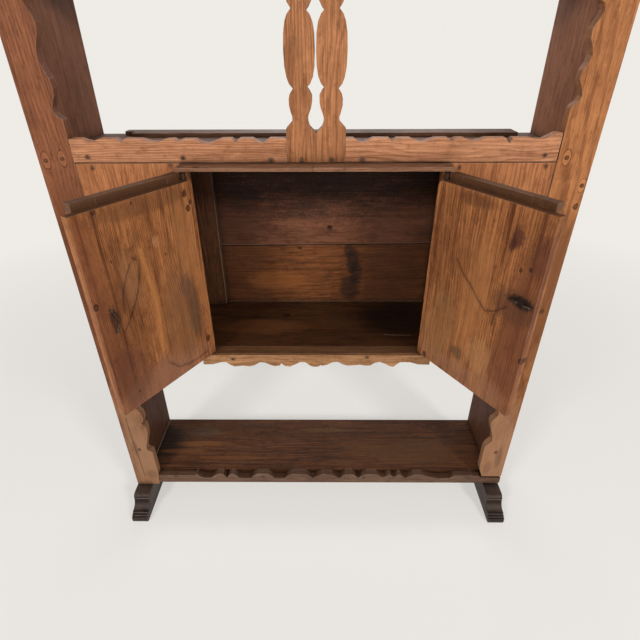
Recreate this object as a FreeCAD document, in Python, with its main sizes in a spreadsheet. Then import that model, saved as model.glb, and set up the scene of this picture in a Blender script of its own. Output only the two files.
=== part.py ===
import math
import os
import re

import FreeCAD
import Part
import Sketcher

# Trastero cabinet of sawn pine boards on two moulded shoe feet.
# Millimetres, +Z up. The origin is on the floor, at the middle of the width,
# in the plane of the front boards, so +Y runs into the cabinet.

SIZES = (
    # The whole cabinet
    ("front_wide", 1200, "outer edge to outer edge of the front stiles"),
    ("side_deep", 233.4, "side planks, from behind the front boards to the back"),
    ("front_thick", 22, "every board of the front plane"),
    ("shelf_thick", 20, "every shelf"),
    ("overrun", 6, "how far a cut runs past the wood"),
    ("board_gap", 0.4, "open joint between two front boards"),
    # Sides
    ("side_thick", 40, "side plank"),
    ("side_inset", 2, "side plank back from the stile's outer edge"),
    ("dado_deep", 12, "housing of a shelf in the side plank"),
    ("stile_wide", 77, "front stile before it is scalloped"),
    ("stile_scallop", 16, "deepest cut of a stile's inner edge"),
    ("right_stile_low", 112, "floor to the right stile, which stands on the apron"),
    ("tenon_wide", 120, "foot tenon of a side plank, front to back"),
    ("tenon_thick", 20, "foot tenon, across"),
    ("tenon_high", 30, "foot tenon, down into the foot"),
    ("tenon_back", 60, "foot tenon, behind the front boards"),
    # Feet
    ("foot_wide", 51, "foot, across"),
    ("foot_high", 70, "foot, floor to the plank"),
    ("foot_toe", 94, "toe in front of the front boards"),
    # Bays, each from one shelf's upper face to the next
    ("bottom_level", 118.5, "floor of the room to the bottom shelf"),
    ("lower_bay_high", 508.5, "bottom shelf to the cupboard floor"),
    ("cupboard_high", 500.5, "cupboard floor to the upper shelf, its roof"),
    ("middle_bay_high", 352.5, "upper shelf to the middle shelf"),
    ("top_bay_high", 300, "middle shelf to the underside of the top board"),
    # Bottom apron
    ("apron_low", 80, "floor to the bottom apron"),
    ("apron_high", 41, "bottom apron"),
    ("apron_dip", 22, "deepest cut of its upper edge"),
    # Cupboard front
    ("opening_half", 280, "middle to a fixed panel"),
    ("panel_drop", 37, "fixed panels below the cupboard floor's face"),
    ("tongue_gap", 1, "tongue of a board between the fixed panels"),
    ("ledge_end", 9, "ledge and sill past the pintle's axis"),
    ("ledge_out", 43, "ledge and sill in front of the panels"),
    ("ledge_thick", 8, "header ledge"),
    ("ledge_tongue", 60, "header ledge behind the front plane"),
    ("lip_board_thick", 10, "scalloped board in front of the sill"),
    ("lip_board_end", 6, "past the end of the sill"),
    ("lip_board_high", 37, "its height"),
    ("lip_board_dip", 16, "deepest cut of its lower edge"),
    # Back of the cupboard
    ("back_thick", 20, "back plank"),
    ("back_drop", 27, "lower back plank below the cupboard floor's face"),
    ("back_top_gap", 7, "upper back plank below the upper shelf's face"),
    ("joint_rise_left", 185, "back joint over the cupboard floor, left end"),
    ("joint_rise_right", 197, "back joint over the cupboard floor, right end"),
    ("batten_wide", 70, "upright batten behind the cupboard's corner"),
    ("batten_thick", 20, "the same"),
    ("left_batten_hide", 4, "left batten behind the fixed panel"),
    ("right_batten_hide", 55, "right batten behind the fixed panel"),
    # Display top
    ("rail_gap", 1.5, "open joint under the lower rails"),
    ("rail_high", 49, "scalloped rail"),
    ("rail_dip", 11, "deepest cut of a rail's upper edge"),
    ("rail_horn", 10, "worn end of the right rail that stands higher"),
    ("right_rail_short", 2, "gap between the right rail and its stile"),
    ("upper_rail_drop", 18, "upper rail below the middle shelf's face"),
    ("splat_wide", 62.5, "splat at its foot"),
    ("splat_neck", 15, "splat's edge cut in at the neck"),
    ("splat_foot", 68, "straight foot of a splat"),
    ("splat_step", 17, "straight part of a splat over the middle rails"),
    ("splat_shift", 3, "joint of the splats, right of the middle"),
    ("top_rail_high", 60, "top front rail"),
    ("top_rail_dip", 16, "deepest cut of its lower edge"),
    ("strip_wide", 55, "plate strip, front to back"),
    ("strip_thick", 9.5, "plate strip"),
    ("strip_left_gap", 68, "left side plank to the strip"),
    ("strip_right_gap", 53, "right side plank to the strip"),
    ("strip_step", 26, "broken corner at its left end"),
    # Top board
    ("top_thick", 20, "top board"),
    ("top_out_side", 25, "past the stiles"),
    ("top_out_front", 30, "past the front boards"),
    ("top_round", 7, "rounded upper arris"),
    ("top_cove", 8, "bevel under the edge"),
    # Doors: widths are measured along the door, out from its hinge edge
    ("pivot_in", 5, "pintle's axis outside the doorway's edge"),
    ("pivot_out", 24, "pintle's axis in front of the panels"),
    ("pivot_edge", 6, "door's hinge edge to the pintle's axis"),
    ("pivot_face", 18, "door's inner face to the pintle's axis"),
    ("meeting_gap", 3, "between the closed doors"),
    ("door_low_gap", 2.5, "door over the sill"),
    ("lip_gap", 4.5, "door's lip under the ledge"),
    ("lip_high", 16, "lip over the inner plank"),
    ("plank_thick", 17, "inner plank of a door"),
    ("frame_thick", 18, "outer layer of a door"),
    ("frame_back", 20, "outer layer back from the free edge"),
    ("frame_wide", 50, "rails and stiles of the outer layer"),
    ("frame_tenon", 22, "length of the outer rails' tenons"),
    ("frame_tongue", 6, "thickness of the tenons and of the field's edge"),
    ("field_in", 5, "field's edge in its groove"),
    ("field_bevel", 30, "width of the field's raised bevel"),
    ("plank_round", 14, "rounded upper corner at the hinge"),
    ("pin_notch", 17, "lip cut back around the pintle"),
    ("pin_radius", 6, "pintle"),
    ("pin_clear", 0.06, "running clearance of a pintle in its bore"),
    ("pin_in_door", 30, "pintle in the door"),
    ("pin_in_sill", 17, "lower pintle in the sill"),
    ("pin_short", 1, "pintle's end off the floor of its bore"),
    ("door_open", 121.4, "degrees that each door stands open"),
    # Iron pulls
    ("pull_thick", 4.2, "square iron rod of a pull"),
    ("pull_hole", 3.1, "radius of its hole in the door"),
    ("pull_out", 26, "pull in front of the door"),
    ("pull_edge", 33, "pull from the free edge"),
    ("pull_off_face", 0.3, "clinched tips off the inner face"),
    ("left_pull_rise", 228, "left pull over the cupboard floor"),
    ("left_pull_legs", 50, "legs of the left pull, one over the other"),
    ("right_pull_rise", 270, "right pull over the cupboard floor"),
    ("right_pull_legs", 14, "legs of the right pull, side by side"),
    ("clinch_bend", 3.5, "bend of a clinched leg"),
    ("left_long_tip", 33, "long clinched tip on the left door"),
    ("left_short_tip", 15, "short clinched tip on the left door"),
    ("right_tip", 20, "clinched tips on the right door"),
    # Nails and pegs
    ("nail_radius", 1.9, "square shank of a forged nail, to its corners"),
    ("nail_long", 50, "nail of a front board"),
    ("nail_short", 32, "nail of the thin scalloped board"),
    ("nail_head", 3.8, "radius of its faceted head"),
    ("nail_proud", 1.4, "head in front of the wood"),
    ("peg_radius", 5, "whittled peg, to its corners"),
    ("peg_long", 46, "peg"),
    ("peg_proud", 0.6, "peg's end in front of the wood"),
)
# Sizes that follow from those above
SUMS = (
    ("floor_level", "=bottom_level + lower_bay_high", "cupboard floor's upper face"),
    ("upper_level", "=floor_level + cupboard_high", "upper shelf's upper face"),
    ("middle_level", "=upper_level + middle_bay_high", "middle shelf's upper face"),
    ("frame_high", "=middle_level + top_bay_high", "underside of the top board"),
    ("panel_low", "=floor_level - panel_drop", "lower edge of the fixed panels"),
    ("pivot_half", "=opening_half + pivot_in", "middle to a pintle's axis"),
    ("ledge_half", "=pivot_half + ledge_end", "middle to the end of the ledge and of the sill"),
    ("lip_board_half", "=ledge_half + lip_board_end", "middle to the end of the scalloped board"),
    ("side_face", "=front_wide / 2 - side_inset - side_thick", "middle to a side plank"),
    ("stile_face", "=front_wide / 2 - stile_wide", "middle to a stile's straight inner edge"),
    ("door_wide", "=pivot_half + pivot_edge - meeting_gap / 2", "width of a door"),
    ("outer_wide", "=door_wide - frame_back", "width of a door's outer layer"),
    ("outer_high", "=cupboard_high - shelf_thick - ledge_thick - lip_gap - door_low_gap",
     "height of a door's outer layer"),
    ("plank_high", "=outer_high - lip_high", "height of a door's inner plank"),
    ("door_low", "=floor_level + door_low_gap", "lower edge of a door"),
)

# Edges cut with a saw. A point is its place along the edge and its depth, as shares
# of the edge's length and of its deepest cut.
LEFT_LOW_SHARES = (
    (0, 0.4), (0.04, 0.15), (0.09, 0), (0.288, 0.05), (0.304, 0.95), (0.33, 1), (0.373, 0.56),
    (0.415, 0.2), (0.465, 0), (0.505, 0.1), (0.52, 0.76), (0.536, 0.25), (0.567, 0.06), (0.598, 0.24),
    (0.62, 0.65), (0.645, 1), (0.66, 0.05), (1, 0),
)
RIGHT_LOW_SHARES = (
    (0.08, 0.9), (0.1, 0.66), (0.128, 0.28), (0.16, 0.04), (0.3, 0), (0.338, 0.06), (0.36, 0.5),
    (0.388, 1.18), (0.438, 0.9), (0.494, 0.28), (0.533, 0.04), (0.557, 0.27), (0.58, 0.94),
    (0.603, 1.1), (0.65, 0.6), (0.7, 0.08), (1, 0),
)
LEFT_BAY_SHARES = (
    (0, 0), (0.125, 0), (0.145, 0.62), (0.17, 0.88), (0.2, 0.97), (0.225, 0.76), (0.271, 0.36),
    (0.319, 0.2), (0.37, 0.32), (0.42, 0.72), (0.46, 0.95), (0.5, 1), (0.54, 0.95), (0.58, 0.72),
    (0.63, 0.32), (0.681, 0.2), (0.729, 0.36), (0.775, 0.76), (0.8, 0.97), (0.83, 0.88), (0.855, 0.62),
    (0.875, 0), (1, 0),
)
RIGHT_BAY_SHARES = (
    (0, 0), (0.178, 0), (0.195, 0.1), (0.213, 0.42), (0.231, 0.87), (0.261, 1.08), (0.297, 0.88),
    (0.327, 0.54), (0.36, 0.24), (0.41, 0.3), (0.46, 0.8), (0.5, 1), (0.54, 0.8), (0.59, 0.3),
    (0.64, 0.24), (0.673, 0.54), (0.703, 0.88), (0.739, 1.08), (0.769, 0.87), (0.787, 0.42),
    (0.805, 0.1), (0.822, 0), (1, 0),
)
BOTTOM_APRON_SHARES = (
    (0, 0.4), (0.106, 0.4), (0.112, 0.08), (0.119, 0.6), (0.13, 0.98), (0.152, 1), (0.162, 0.5), (0.172, 0.1),
    (0.182, 0.05), (0.19, 0.15), (0.1995, 0.92), (0.208, 0.2), (0.216, 0.05), (0.226, 0.35),
    (0.237, 0.98), (0.268, 1), (0.279, 0.35), (0.29, 0.03), (0.318, 0), (0.329, 0.35), (0.34, 0.98),
    (0.368, 1), (0.378, 0.4), (0.39, 0.08), (0.432, 0.1), (0.452, 0.95), (0.466, 0.4), (0.478, 0.12),
    (0.506, 0.14), (0.518, 0.6), (0.529, 0.95), (0.538, 0.45), (0.547, 0.12), (0.566, 0.12),
    (0.574, 0.3), (0.584, 0.95), (0.596, 0.35), (0.61, 0.1), (0.638, 0.12), (0.65, 0.6), (0.659, 0.78),
    (0.668, 0.3), (0.676, 0.1), (0.688, 0.8), (0.698, 0.25), (0.706, 0.1), (0.714, 0.5), (0.722, 0.95),
    (0.735, 0.5), (0.747, 0.1), (0.768, 0.12), (0.79, 0.6), (0.82, 1), (0.85, 0.98), (0.864, 0.3),
    (0.935, 0.3), (0.94, 0.77), (1, 0.78),
)
LIP_BOARD_SHARES = (
    (0, 0.45), (0.04, 0.5), (0.08, 0.92), (0.1, 0.95), (0.118, 0.4), (0.136, 0.02), (0.17, 0.22),
    (0.203, 0.05), (0.225, 0.3), (0.25, 0.92), (0.272, 0.85), (0.295, 0.4), (0.315, 0.1), (0.337, 0.2),
    (0.345, 0.72), (0.36, 0.15), (0.382, 0.02), (0.405, 0.45), (0.428, 0.95), (0.45, 0.95), (0.47, 0.3),
    (0.485, 0), (0.503, 0), (0.513, 0.12), (0.518, 0.36), (0.525, 0.2), (0.547, 0.4), (0.573, 0.93),
    (0.595, 1), (0.618, 0.5), (0.637, 0.25), (0.663, 0.3), (0.693, 0.42), (0.717, 0.25), (0.738, 0.27),
    (0.76, 0.85), (0.782, 1), (0.805, 0.6), (0.828, 0.08), (0.842, 0), (0.858, 0.6), (0.87, 0.95),
    (0.915, 0.95), (0.95, 0.5), (1, 0.45),
)
LEFT_RAIL_SHARES = (
    (0, 0), (0.053, 0), (0.075, 0.35), (0.098, 0.62), (0.12, 0.3), (0.14, 0), (0.212, 0), (0.24, 0.8),
    (0.256, 0), (0.33, 0.06), (0.372, 0.6), (0.41, 0.68), (0.445, 0.12), (0.48, 0.05), (0.502, 0.58),
    (0.522, 0.12), (0.58, 0.12), (0.61, 0.8), (0.638, 0.95), (0.665, 0.6), (0.7, 0.02), (0.748, 0),
    (0.766, 0.72), (0.785, 0), (0.845, 0.02), (0.865, 0.5), (0.887, 1), (0.905, 0.5), (0.923, 0),
    (1, 0),
)
RIGHT_RAIL_SHARES = (
    (0, 0), (0.034, 0), (0.057, 0.5), (0.081, 0.85), (0.103, 0.5), (0.126, 0), (0.201, 0),
    (0.218, 0.62), (0.236, 0), (0.3, 0.02), (0.329, 0.5), (0.357, 0.75), (0.385, 0.4), (0.418, 0),
    (0.476, 0), (0.494, 0.62), (0.511, 0), (0.55, 0.02), (0.578, 0.45), (0.602, 0.65), (0.631, 0.3),
    (0.653, 0), (0.742, 0), (0.762, 0.95), (0.776, 0), (0.855, 0), (0.884, 0.25), (0.92, 0.24),
    (0.934, -0.05), (0.95, -0.4), (0.974, -0.88), (1, -0.95),
)
SPLAT_OUTER_SHARES = (
    (0, 0), (0.017, 0.3), (0.05, 0.9), (0.082, 0.92), (0.115, 0.7), (0.155, 0.52), (0.2, 0.5),
    (0.23, 0.64), (0.265, 1.1), (0.295, 0.6), (0.335, 0.3), (0.4, 0.08), (0.5, 0), (0.6, 0.08),
    (0.665, 0.3), (0.705, 0.6), (0.735, 1.1), (0.77, 0.64), (0.8, 0.5), (0.845, 0.52), (0.885, 0.7),
    (0.918, 0.92), (0.95, 0.9), (0.983, 0.3), (1, 0),
)
SPLAT_INNER_SHARES = (
    (-0.03, 0), (-0.006, 0.45), (0.015, 0.85), (0.04, 1.02), (0.07, 1.08), (0.1, 0.92), (0.14, 0.62),
    (0.18, 0.48), (0.22, 0.48), (0.255, 0.85), (0.272, 1.12), (0.295, 0.7), (0.335, 0.35), (0.4, 0.12),
    (0.5, 0.06), (0.6, 0.12), (0.665, 0.35), (0.705, 0.7), (0.728, 1.12), (0.745, 0.85), (0.78, 0.48),
    (0.82, 0.48), (0.86, 0.62), (0.9, 0.92), (0.93, 1.08), (0.96, 1.02), (0.985, 0.85), (1.006, 0.45),
    (1.03, 0),
)
# Bend of a pull's bow, as a share of the way between its legs, and the slants of the
# left pull's clinched tips, the long one's first, which meet on the door's inner face
BOW_SHARE = 0.42
TIP_SLANT_SHARES = ((-0.38, -0.92), (-0.57, 0.82))
# Side of a foot from its toe's lower corner to the plank: places as shares of the
# toe, back from the toe's front, and heights as shares of the foot's height.
FOOT_SHARES = (
    (0.03, 0), (0, 0.05), (0, 0.2), (0.012, 0.255), (0.045, 0.27), (0.075, 0.275), (0.085, 0.31),
    (0.115, 0.335), (0.15, 0.34), (0.16, 0.375), (0.2, 0.4), (0.26, 0.43), (0.34, 0.47), (0.4, 0.53),
    (0.44, 0.61), (0.465, 0.69), (0.48, 0.8), (0.5, 0.87), (0.515, 0.93), (0.54, 0.97), (0.575, 0.99),
    (0.63, 1),
)
# Nails and pegs of the front: the board, what is behind it, and the place as a share
# across the width that both have in common and up the piece behind.
NAIL_SHARES = (
    ("left_lower_rail", "upper_shelf", 0.067, 0.68), ("left_lower_rail", "upper_shelf", 0.514, 0.58),
    ("left_lower_rail", "upper_shelf", 0.925, 0.3), ("right_lower_rail", "upper_shelf", 0.08, 0.33),
    ("right_lower_rail", "upper_shelf", 0.94, 0.78), ("left_splat", "upper_shelf", 0.5, 0.3),
    ("right_splat", "upper_shelf", 0.53, 0.33), ("left_upper_rail", "middle_shelf", 0.06, 0.5),
    ("left_upper_rail", "middle_shelf", 0.93, 0.6), ("right_upper_rail", "middle_shelf", 0.07, 0.55),
    ("right_upper_rail", "middle_shelf", 0.95, 0.45), ("left_splat", "middle_shelf", 0.45, 0.5),
    ("right_splat", "middle_shelf", 0.55, 0.5), ("left_fixed_panel", "cupboard_floor", 0.2, 0.5),
    ("left_fixed_panel", "cupboard_floor", 0.75, 0.45), ("right_fixed_panel", "cupboard_floor", 0.25, 0.5),
    ("right_fixed_panel", "cupboard_floor", 0.8, 0.55), ("bottom_apron", "bottom_shelf", 0.051, 0.45),
    ("bottom_apron", "bottom_shelf", 0.314, 0.4), ("bottom_apron", "bottom_shelf", 0.617, 0.3),
    ("bottom_apron", "bottom_shelf", 0.925, 0.45), ("cupboard_apron", "cupboard_sill", 0.126, 0.4),
    ("cupboard_apron", "cupboard_sill", 0.726, 0.7), ("left_front_stile", "left_side_plank", 0.89, 0.11),
    ("right_front_stile", "right_side_plank", 0.11, 0.105),
)
PEG_SHARES = (
    ("left_front_stile", "left_side_plank", 0.35, 0.617), ("left_front_stile", "upper_shelf", 0.49, 0.5),
    ("left_front_stile", "left_side_plank", 0.53, 0.33), ("left_front_stile", "left_side_plank", 0.49, 0.86),
    ("right_front_stile", "right_side_plank", 0.59, 0.4), ("right_front_stile", "upper_shelf", 0.39, 0.5),
    ("right_front_stile", "right_side_plank", 0.82, 0.585),
    ("right_front_stile", "right_side_plank", 0.51, 0.87),
)

doc = FreeCAD.newDocument("Trastero")
sheet = doc.addObject("Spreadsheet::Sheet", "Sizes")
for row, (name, value, meaning) in enumerate(SIZES + SUMS, 1):
    sheet.set("A%d" % row, name)
    sheet.set("B%d" % row, str(value))
    sheet.set("C%d" % row, meaning)
    sheet.setAlias("B%d" % row, name)
doc.recompute()


def cells(words):
    """A sum of sizes, with each size written as its cell."""
    return re.sub("[a-z_]+", lambda word: "Sizes." + word.group(), words)


# Every size under its own name, for the outlines and places worked out below
size = {name: float(sheet.get(name)) for name, value, meaning in SIZES + SUMS}
front_wide, front_thick, overrun = size["front_wide"], size["front_thick"], size["overrun"]
stile_edge, frame_top = size["stile_face"], size["frame_high"]
rail_low = size["upper_level"] - size["shelf_thick"] + size["rail_gap"]
rail_top = rail_low + size["rail_high"]
middle_rail_low = size["middle_level"] - size["upper_rail_drop"]
middle_rail_top = middle_rail_low + size["rail_high"]
top_rail_low = frame_top - size["top_rail_high"]
door_low, door_wide, outer_wide = size["door_low"], size["door_wide"], size["outer_wide"]
plank_top = door_low + size["plank_high"]
lip_top = door_low + size["outer_high"]

nodes = []


def body(label):
    """An empty body whose label is its node's name."""
    made = doc.addObject("PartDesign::Body", label)
    made.Label = label
    nodes.append(made)
    return made


def sketch(owner, plane, offset="0"):
    """A sketch on one of the body's own planes, moved along that plane's normal."""
    made = owner.newObject("Sketcher::SketchObject", owner.Name + "_sketch")
    for feature in owner.Origin.OriginFeatures:
        if feature.Role == plane + "_Plane":
            made.AttachmentSupport = (feature, [""])
    made.MapMode = "FlatFace"
    made.setExpression("AttachmentOffset.Base.z", cells(offset))
    return made


def rectangle(owner, plane, left, low, wide, tall, offset="0"):
    """A rectangle whose corner and sides are bound to the sheet."""
    made = sketch(owner, plane, offset)
    corners = [FreeCAD.Vector(x, y, 0) for x, y in ((0, 0), (1, 0), (1, 1), (0, 1))]
    for start, end in zip(corners, corners[1:] + corners[:1]):
        made.addGeometry(Part.LineSegment(start, end), False)
    for line in range(4):
        made.addConstraint(Sketcher.Constraint("Coincident", line, 2, (line + 1) % 4, 1))
    for line in (0, 2):
        made.addConstraint(Sketcher.Constraint("Horizontal", line))
    for line in (1, 3):
        made.addConstraint(Sketcher.Constraint("Vertical", line))
    spans = (("DistanceX", (0, 1, 0, 2), wide), ("DistanceY", (1, 1, 1, 2), tall))
    spans += (("DistanceX", (-1, 1, 0, 1), left), ("DistanceY", (-1, 1, 0, 1), low))
    for kind, ends, words in spans:
        row = made.addConstraint(Sketcher.Constraint(kind, *ends, 1.0))
        made.setExpression("Constraints[%d]" % row, cells(words))
    return made


def outline(owner, plane, rings, offset="0"):
    """A sketch of one or more closed rings of straight cuts."""
    made = sketch(owner, plane, offset)
    for ring in rings:
        points = [FreeCAD.Vector(x, y, 0) for x, y in ring]
        for start, end in zip(points, points[1:] + points[:1]):
            made.addGeometry(Part.LineSegment(start, end), False)
    return made


def pad(owner, drawn, length, back=False):
    """The sketch made solid, along its plane's normal or backwards."""
    made = owner.newObject("PartDesign::Pad", owner.Name + "_pad")
    made.Profile = drawn
    made.setExpression("Length", cells(length))
    made.Reversed = back
    return made


def pocket(owner, drawn, length, back=False):
    """The sketch cut away, against its plane's normal or along it."""
    made = owner.newObject("PartDesign::Pocket", owner.Name + "_pocket")
    made.Profile = drawn
    made.setExpression("Length", cells(length))
    made.Reversed = back
    return made


def place(owner, x, y, z):
    """Puts a body's own origin at sums of sizes."""
    for axis, words in zip("xyz", (x, y, z)):
        owner.setExpression("Placement.Base." + axis, cells(words))


def sawn(table, start, along, inward, length, depth):
    """An edge's table turned into points in its sketch."""
    points = []
    for far, deep in table:
        x = start[0] + along[0] * far * length + inward[0] * deep * depth
        y = start[1] + along[1] * far * length + inward[1] * deep * depth
        points.append((x, y))
    return points


def waste(points, inward):
    """Closes a sawn edge into the ring of what falls away, outside the board."""
    first, last = points[0], points[-1]
    away = size["stile_scallop"] + overrun
    if inward[0]:
        outside = first[0] - inward[0] * away
        return points + [(outside, last[1]), (outside, first[1])]
    outside = first[1] - inward[1] * away
    return points + [(last[0], outside), (first[0], outside)]


def front_board(label, wide, high, x, z, thick="front_thick", y="0"):
    """A board of the front plane, standing on its lower left corner."""
    board = body(label)
    pad(board, rectangle(board, "XZ", "0", "0", wide, high), thick, True)
    place(board, x, y, z)
    return board


def saw_edge(board, table, start, along, inward, length, depth, thick="front_thick"):
    """Saws a table's outline into one edge of a front board."""
    ring = waste(sawn(table, start, along, inward, length, depth), inward)
    pocket(board, outline(board, "XZ", [ring], "overrun"), thick + " + 2 * overrun")


def shelf(label, level):
    """A board housed in both side planks, behind the front boards."""
    board = body(label)
    wide = "2 * side_face + 2 * dado_deep"
    pad(board, rectangle(board, "XY", "0", "0", wide, "side_deep"), "shelf_thick")
    place(board, "-side_face - dado_deep", "front_thick", level + " - shelf_thick")
    return board


def mirrored(label, source):
    """The right-hand twin of a left-hand piece."""
    twin = doc.addObject("Part::Mirroring", label)
    twin.Label = label
    twin.Source = source
    twin.Normal = FreeCAD.Vector(1, 0, 0)
    nodes.append(twin)
    return twin


# Side planks: thick boards with four housings and a tenon into the foot
for label, x, housing_x in (
        ("left_side_plank", "-front_wide / 2 + side_inset", "side_thick - dado_deep"),
        ("right_side_plank", "front_wide / 2 - side_inset - side_thick", "-overrun")):
    plank = body(label)
    pad(plank, rectangle(plank, "YZ", "0", "tenon_high", "side_deep", "frame_high - foot_high"), "side_thick")
    tenon = rectangle(plank, "YZ", "tenon_back", "0", "tenon_wide", "tenon_high + overrun",
                      "(side_thick - tenon_thick) / 2")
    pad(plank, tenon, "tenon_thick")
    for level in ("bottom_level", "floor_level", "upper_level", "middle_level"):
        housing = rectangle(plank, "XZ", housing_x, level + " - shelf_thick - foot_high + tenon_high",
                            "dado_deep + overrun", "shelf_thick", "overrun")
        pocket(plank, housing, "side_deep + 2 * overrun")
    place(plank, x, "front_thick", "foot_high - tenon_high")

# Feet: the moulded side drawn once and run across the foot, with a mortise on top
foot = body("left_foot")
toe, foot_high = size["foot_toe"], size["foot_high"]
heel = front_thick + size["side_deep"]
side = [(-toe + back * toe, up * foot_high) for back, up in FOOT_SHARES]
pad(foot, outline(foot, "YZ", [side + [(heel, foot_high), (heel, 0)]]), "foot_wide")
mortise = rectangle(foot, "XY", "side_inset + (side_thick - tenon_thick) / 2", "front_thick + tenon_back",
                    "tenon_thick", "tenon_wide", "foot_high + overrun")
pocket(foot, mortise, "tenon_high + overrun")
place(foot, "-front_wide / 2", "0", "0")
mirrored("right_foot", foot)

# Stiles: each inner edge is sawn in three bays, and left straight at the shelves
for label, low, bays, x in (
        ("left_front_stile", "foot_high", (LEFT_LOW_SHARES, LEFT_BAY_SHARES), "-front_wide / 2"),
        ("right_front_stile", "right_stile_low", (RIGHT_LOW_SHARES, RIGHT_BAY_SHARES),
         "front_wide / 2 - stile_wide")):
    stile = front_board(label, "stile_wide", "frame_high - " + low, x, low)
    left = label.startswith("left")
    edge = size["stile_wide"] if left else 0
    inward = (-1, 0) if left else (1, 0)
    base = size[low]
    spans = ((bays[0], size["foot_high"], size["panel_low"]), (bays[1], rail_top, middle_rail_low),
             (bays[1], middle_rail_top, top_rail_low))
    for table, start, end in spans:
        saw_edge(stile, table, (edge, start - base), (0, 1), inward, end - start, size["stile_scallop"])

# Bottom shelf and the apron in front of it, which runs on under the right stile
shelf("bottom_shelf", "bottom_level")
left_x = "-stile_face + board_gap"
apron = front_board("bottom_apron", "front_wide - stile_wide - board_gap", "apron_high", left_x, "apron_low")
apron_long = front_wide - size["stile_wide"] - size["board_gap"]
saw_edge(apron, BOTTOM_APRON_SHARES, (0, size["apron_high"]), (1, 0), (0, -1), apron_long, size["apron_dip"])
under_stile = rectangle(apron, "XZ", "front_wide - 2 * stile_wide - board_gap - stile_scallop",
                        "right_stile_low - apron_low", "stile_wide + stile_scallop + overrun",
                        "apron_high", "overrun")
pocket(apron, under_stile, "front_thick + 2 * overrun")

# Cupboard floor with its tongue between the fixed panels
floor = shelf("cupboard_floor", "floor_level")
tongue = rectangle(floor, "XY", "side_face + dado_deep - opening_half + tongue_gap", "0",
                   "2 * opening_half - 2 * tongue_gap", "front_thick + overrun")
tongue.setExpression("AttachmentOffset.Base.y", cells("-front_thick"))
pad(floor, tongue, "shelf_thick")

# Sill strip in front of the floor, bored for the lower pintles
sill = body("cupboard_sill")
pad(sill, rectangle(sill, "XY", "0", "0", "2 * ledge_half", "ledge_out - lip_board_thick"), "shelf_thick")
for x in (size["ledge_half"] - size["pivot_half"], size["ledge_half"] + size["pivot_half"]):
    bore = sketch(sill, "XY", "shelf_thick + overrun")
    centre = FreeCAD.Vector(x, size["ledge_out"] - size["lip_board_thick"] - size["pivot_out"], 0)
    axis = FreeCAD.Vector(0, 0, 1)
    bore.addGeometry(Part.Circle(centre, axis, size["pin_radius"] + size["pin_clear"]), False)
    pocket(sill, bore, "pin_in_sill + pin_short + overrun")
place(sill, "-ledge_half", "-ledge_out + lip_board_thick", "floor_level - shelf_thick")

# Scalloped board in front of the sill
lip_board = front_board("cupboard_apron", "2 * lip_board_half", "lip_board_high", "-lip_board_half",
                        "floor_level - lip_board_high", "lip_board_thick", "-ledge_out")
saw_edge(lip_board, LIP_BOARD_SHARES, (0, 0), (1, 0), (0, 1), 2 * size["lip_board_half"],
         size["lip_board_dip"], "lip_board_thick")

# Fixed panels beside the doors
panel_wide = "stile_face - opening_half - board_gap"
panel_high = "upper_level - shelf_thick - panel_low"
front_board("left_fixed_panel", panel_wide, panel_high, left_x, "panel_low")
front_board("right_fixed_panel", panel_wide, panel_high, "opening_half", "panel_low")

# Header ledge: a thin board under the roof that carries the upper pintles
ledge = body("header_ledge")
pad(ledge, rectangle(ledge, "XY", "0", "0", "2 * ledge_half", "ledge_out"), "ledge_thick")
ledge_tongue = rectangle(ledge, "XY", "ledge_half - opening_half + tongue_gap", "ledge_out - overrun",
                         "2 * opening_half - 2 * tongue_gap", "ledge_tongue + overrun")
pad(ledge, ledge_tongue, "ledge_thick")
for x in (size["ledge_half"] - size["pivot_half"], size["ledge_half"] + size["pivot_half"]):
    bore = sketch(ledge, "XY", "ledge_thick + overrun")
    centre = FreeCAD.Vector(x, size["ledge_out"] - size["pivot_out"], 0)
    axis = FreeCAD.Vector(0, 0, 1)
    bore.addGeometry(Part.Circle(centre, axis, size["pin_radius"] + size["pin_clear"]), False)
    pocket(ledge, bore, "ledge_thick + 2 * overrun")
place(ledge, "-ledge_half", "-ledge_out", "upper_level - shelf_thick - ledge_thick")

# Back planks, nailed on behind; the joint between them runs at a slant
plank_half = front_wide / 2 - size["side_inset"]
floor_level, back_top = size["floor_level"], size["upper_level"] - size["back_top_gap"]
back_low = floor_level - size["back_drop"]
left_joint, right_joint = floor_level + size["joint_rise_left"], floor_level + size["joint_rise_right"]
for label, corners in (
        ("back_plank_lower", ((-plank_half, back_low), (plank_half, back_low),
                              (plank_half, right_joint), (-plank_half, left_joint))),
        ("back_plank_upper", ((-plank_half, left_joint + size["board_gap"]),
                              (plank_half, right_joint + size["board_gap"]),
                              (plank_half, back_top), (-plank_half, back_top)))):
    plank = body(label)
    pad(plank, outline(plank, "XZ", [corners]), "back_thick", True)
    place(plank, "0", "front_thick + side_deep", "0")

# Upright battens in the cupboard's back corners
for label, x in (("left_back_batten", "-opening_half - left_batten_hide - batten_wide"),
                 ("right_back_batten", "opening_half + right_batten_hide")):
    front_board(label, "batten_wide", "upper_level - shelf_thick - floor_level", x, "floor_level",
                "batten_thick", "front_thick + side_deep - batten_thick")

# Upper shelf, with a flat strip at the back whose left end is broken off in a step
shelf("upper_shelf", "upper_level")
strip = body("plate_strip")
strip_long = "2 * side_face - strip_left_gap - strip_right_gap"
pad(strip, rectangle(strip, "XY", "0", "0", strip_long, "strip_wide"), "strip_thick")
broken = rectangle(strip, "XY", "0", "0", "strip_step", "strip_wide / 2", "strip_thick + overrun")
pocket(strip, broken, "strip_thick + 2 * overrun")
place(strip, "-side_face + strip_left_gap", "front_thick + side_deep - strip_wide", "upper_level")

# Middle shelf
shelf("middle_shelf", "middle_level")

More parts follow.
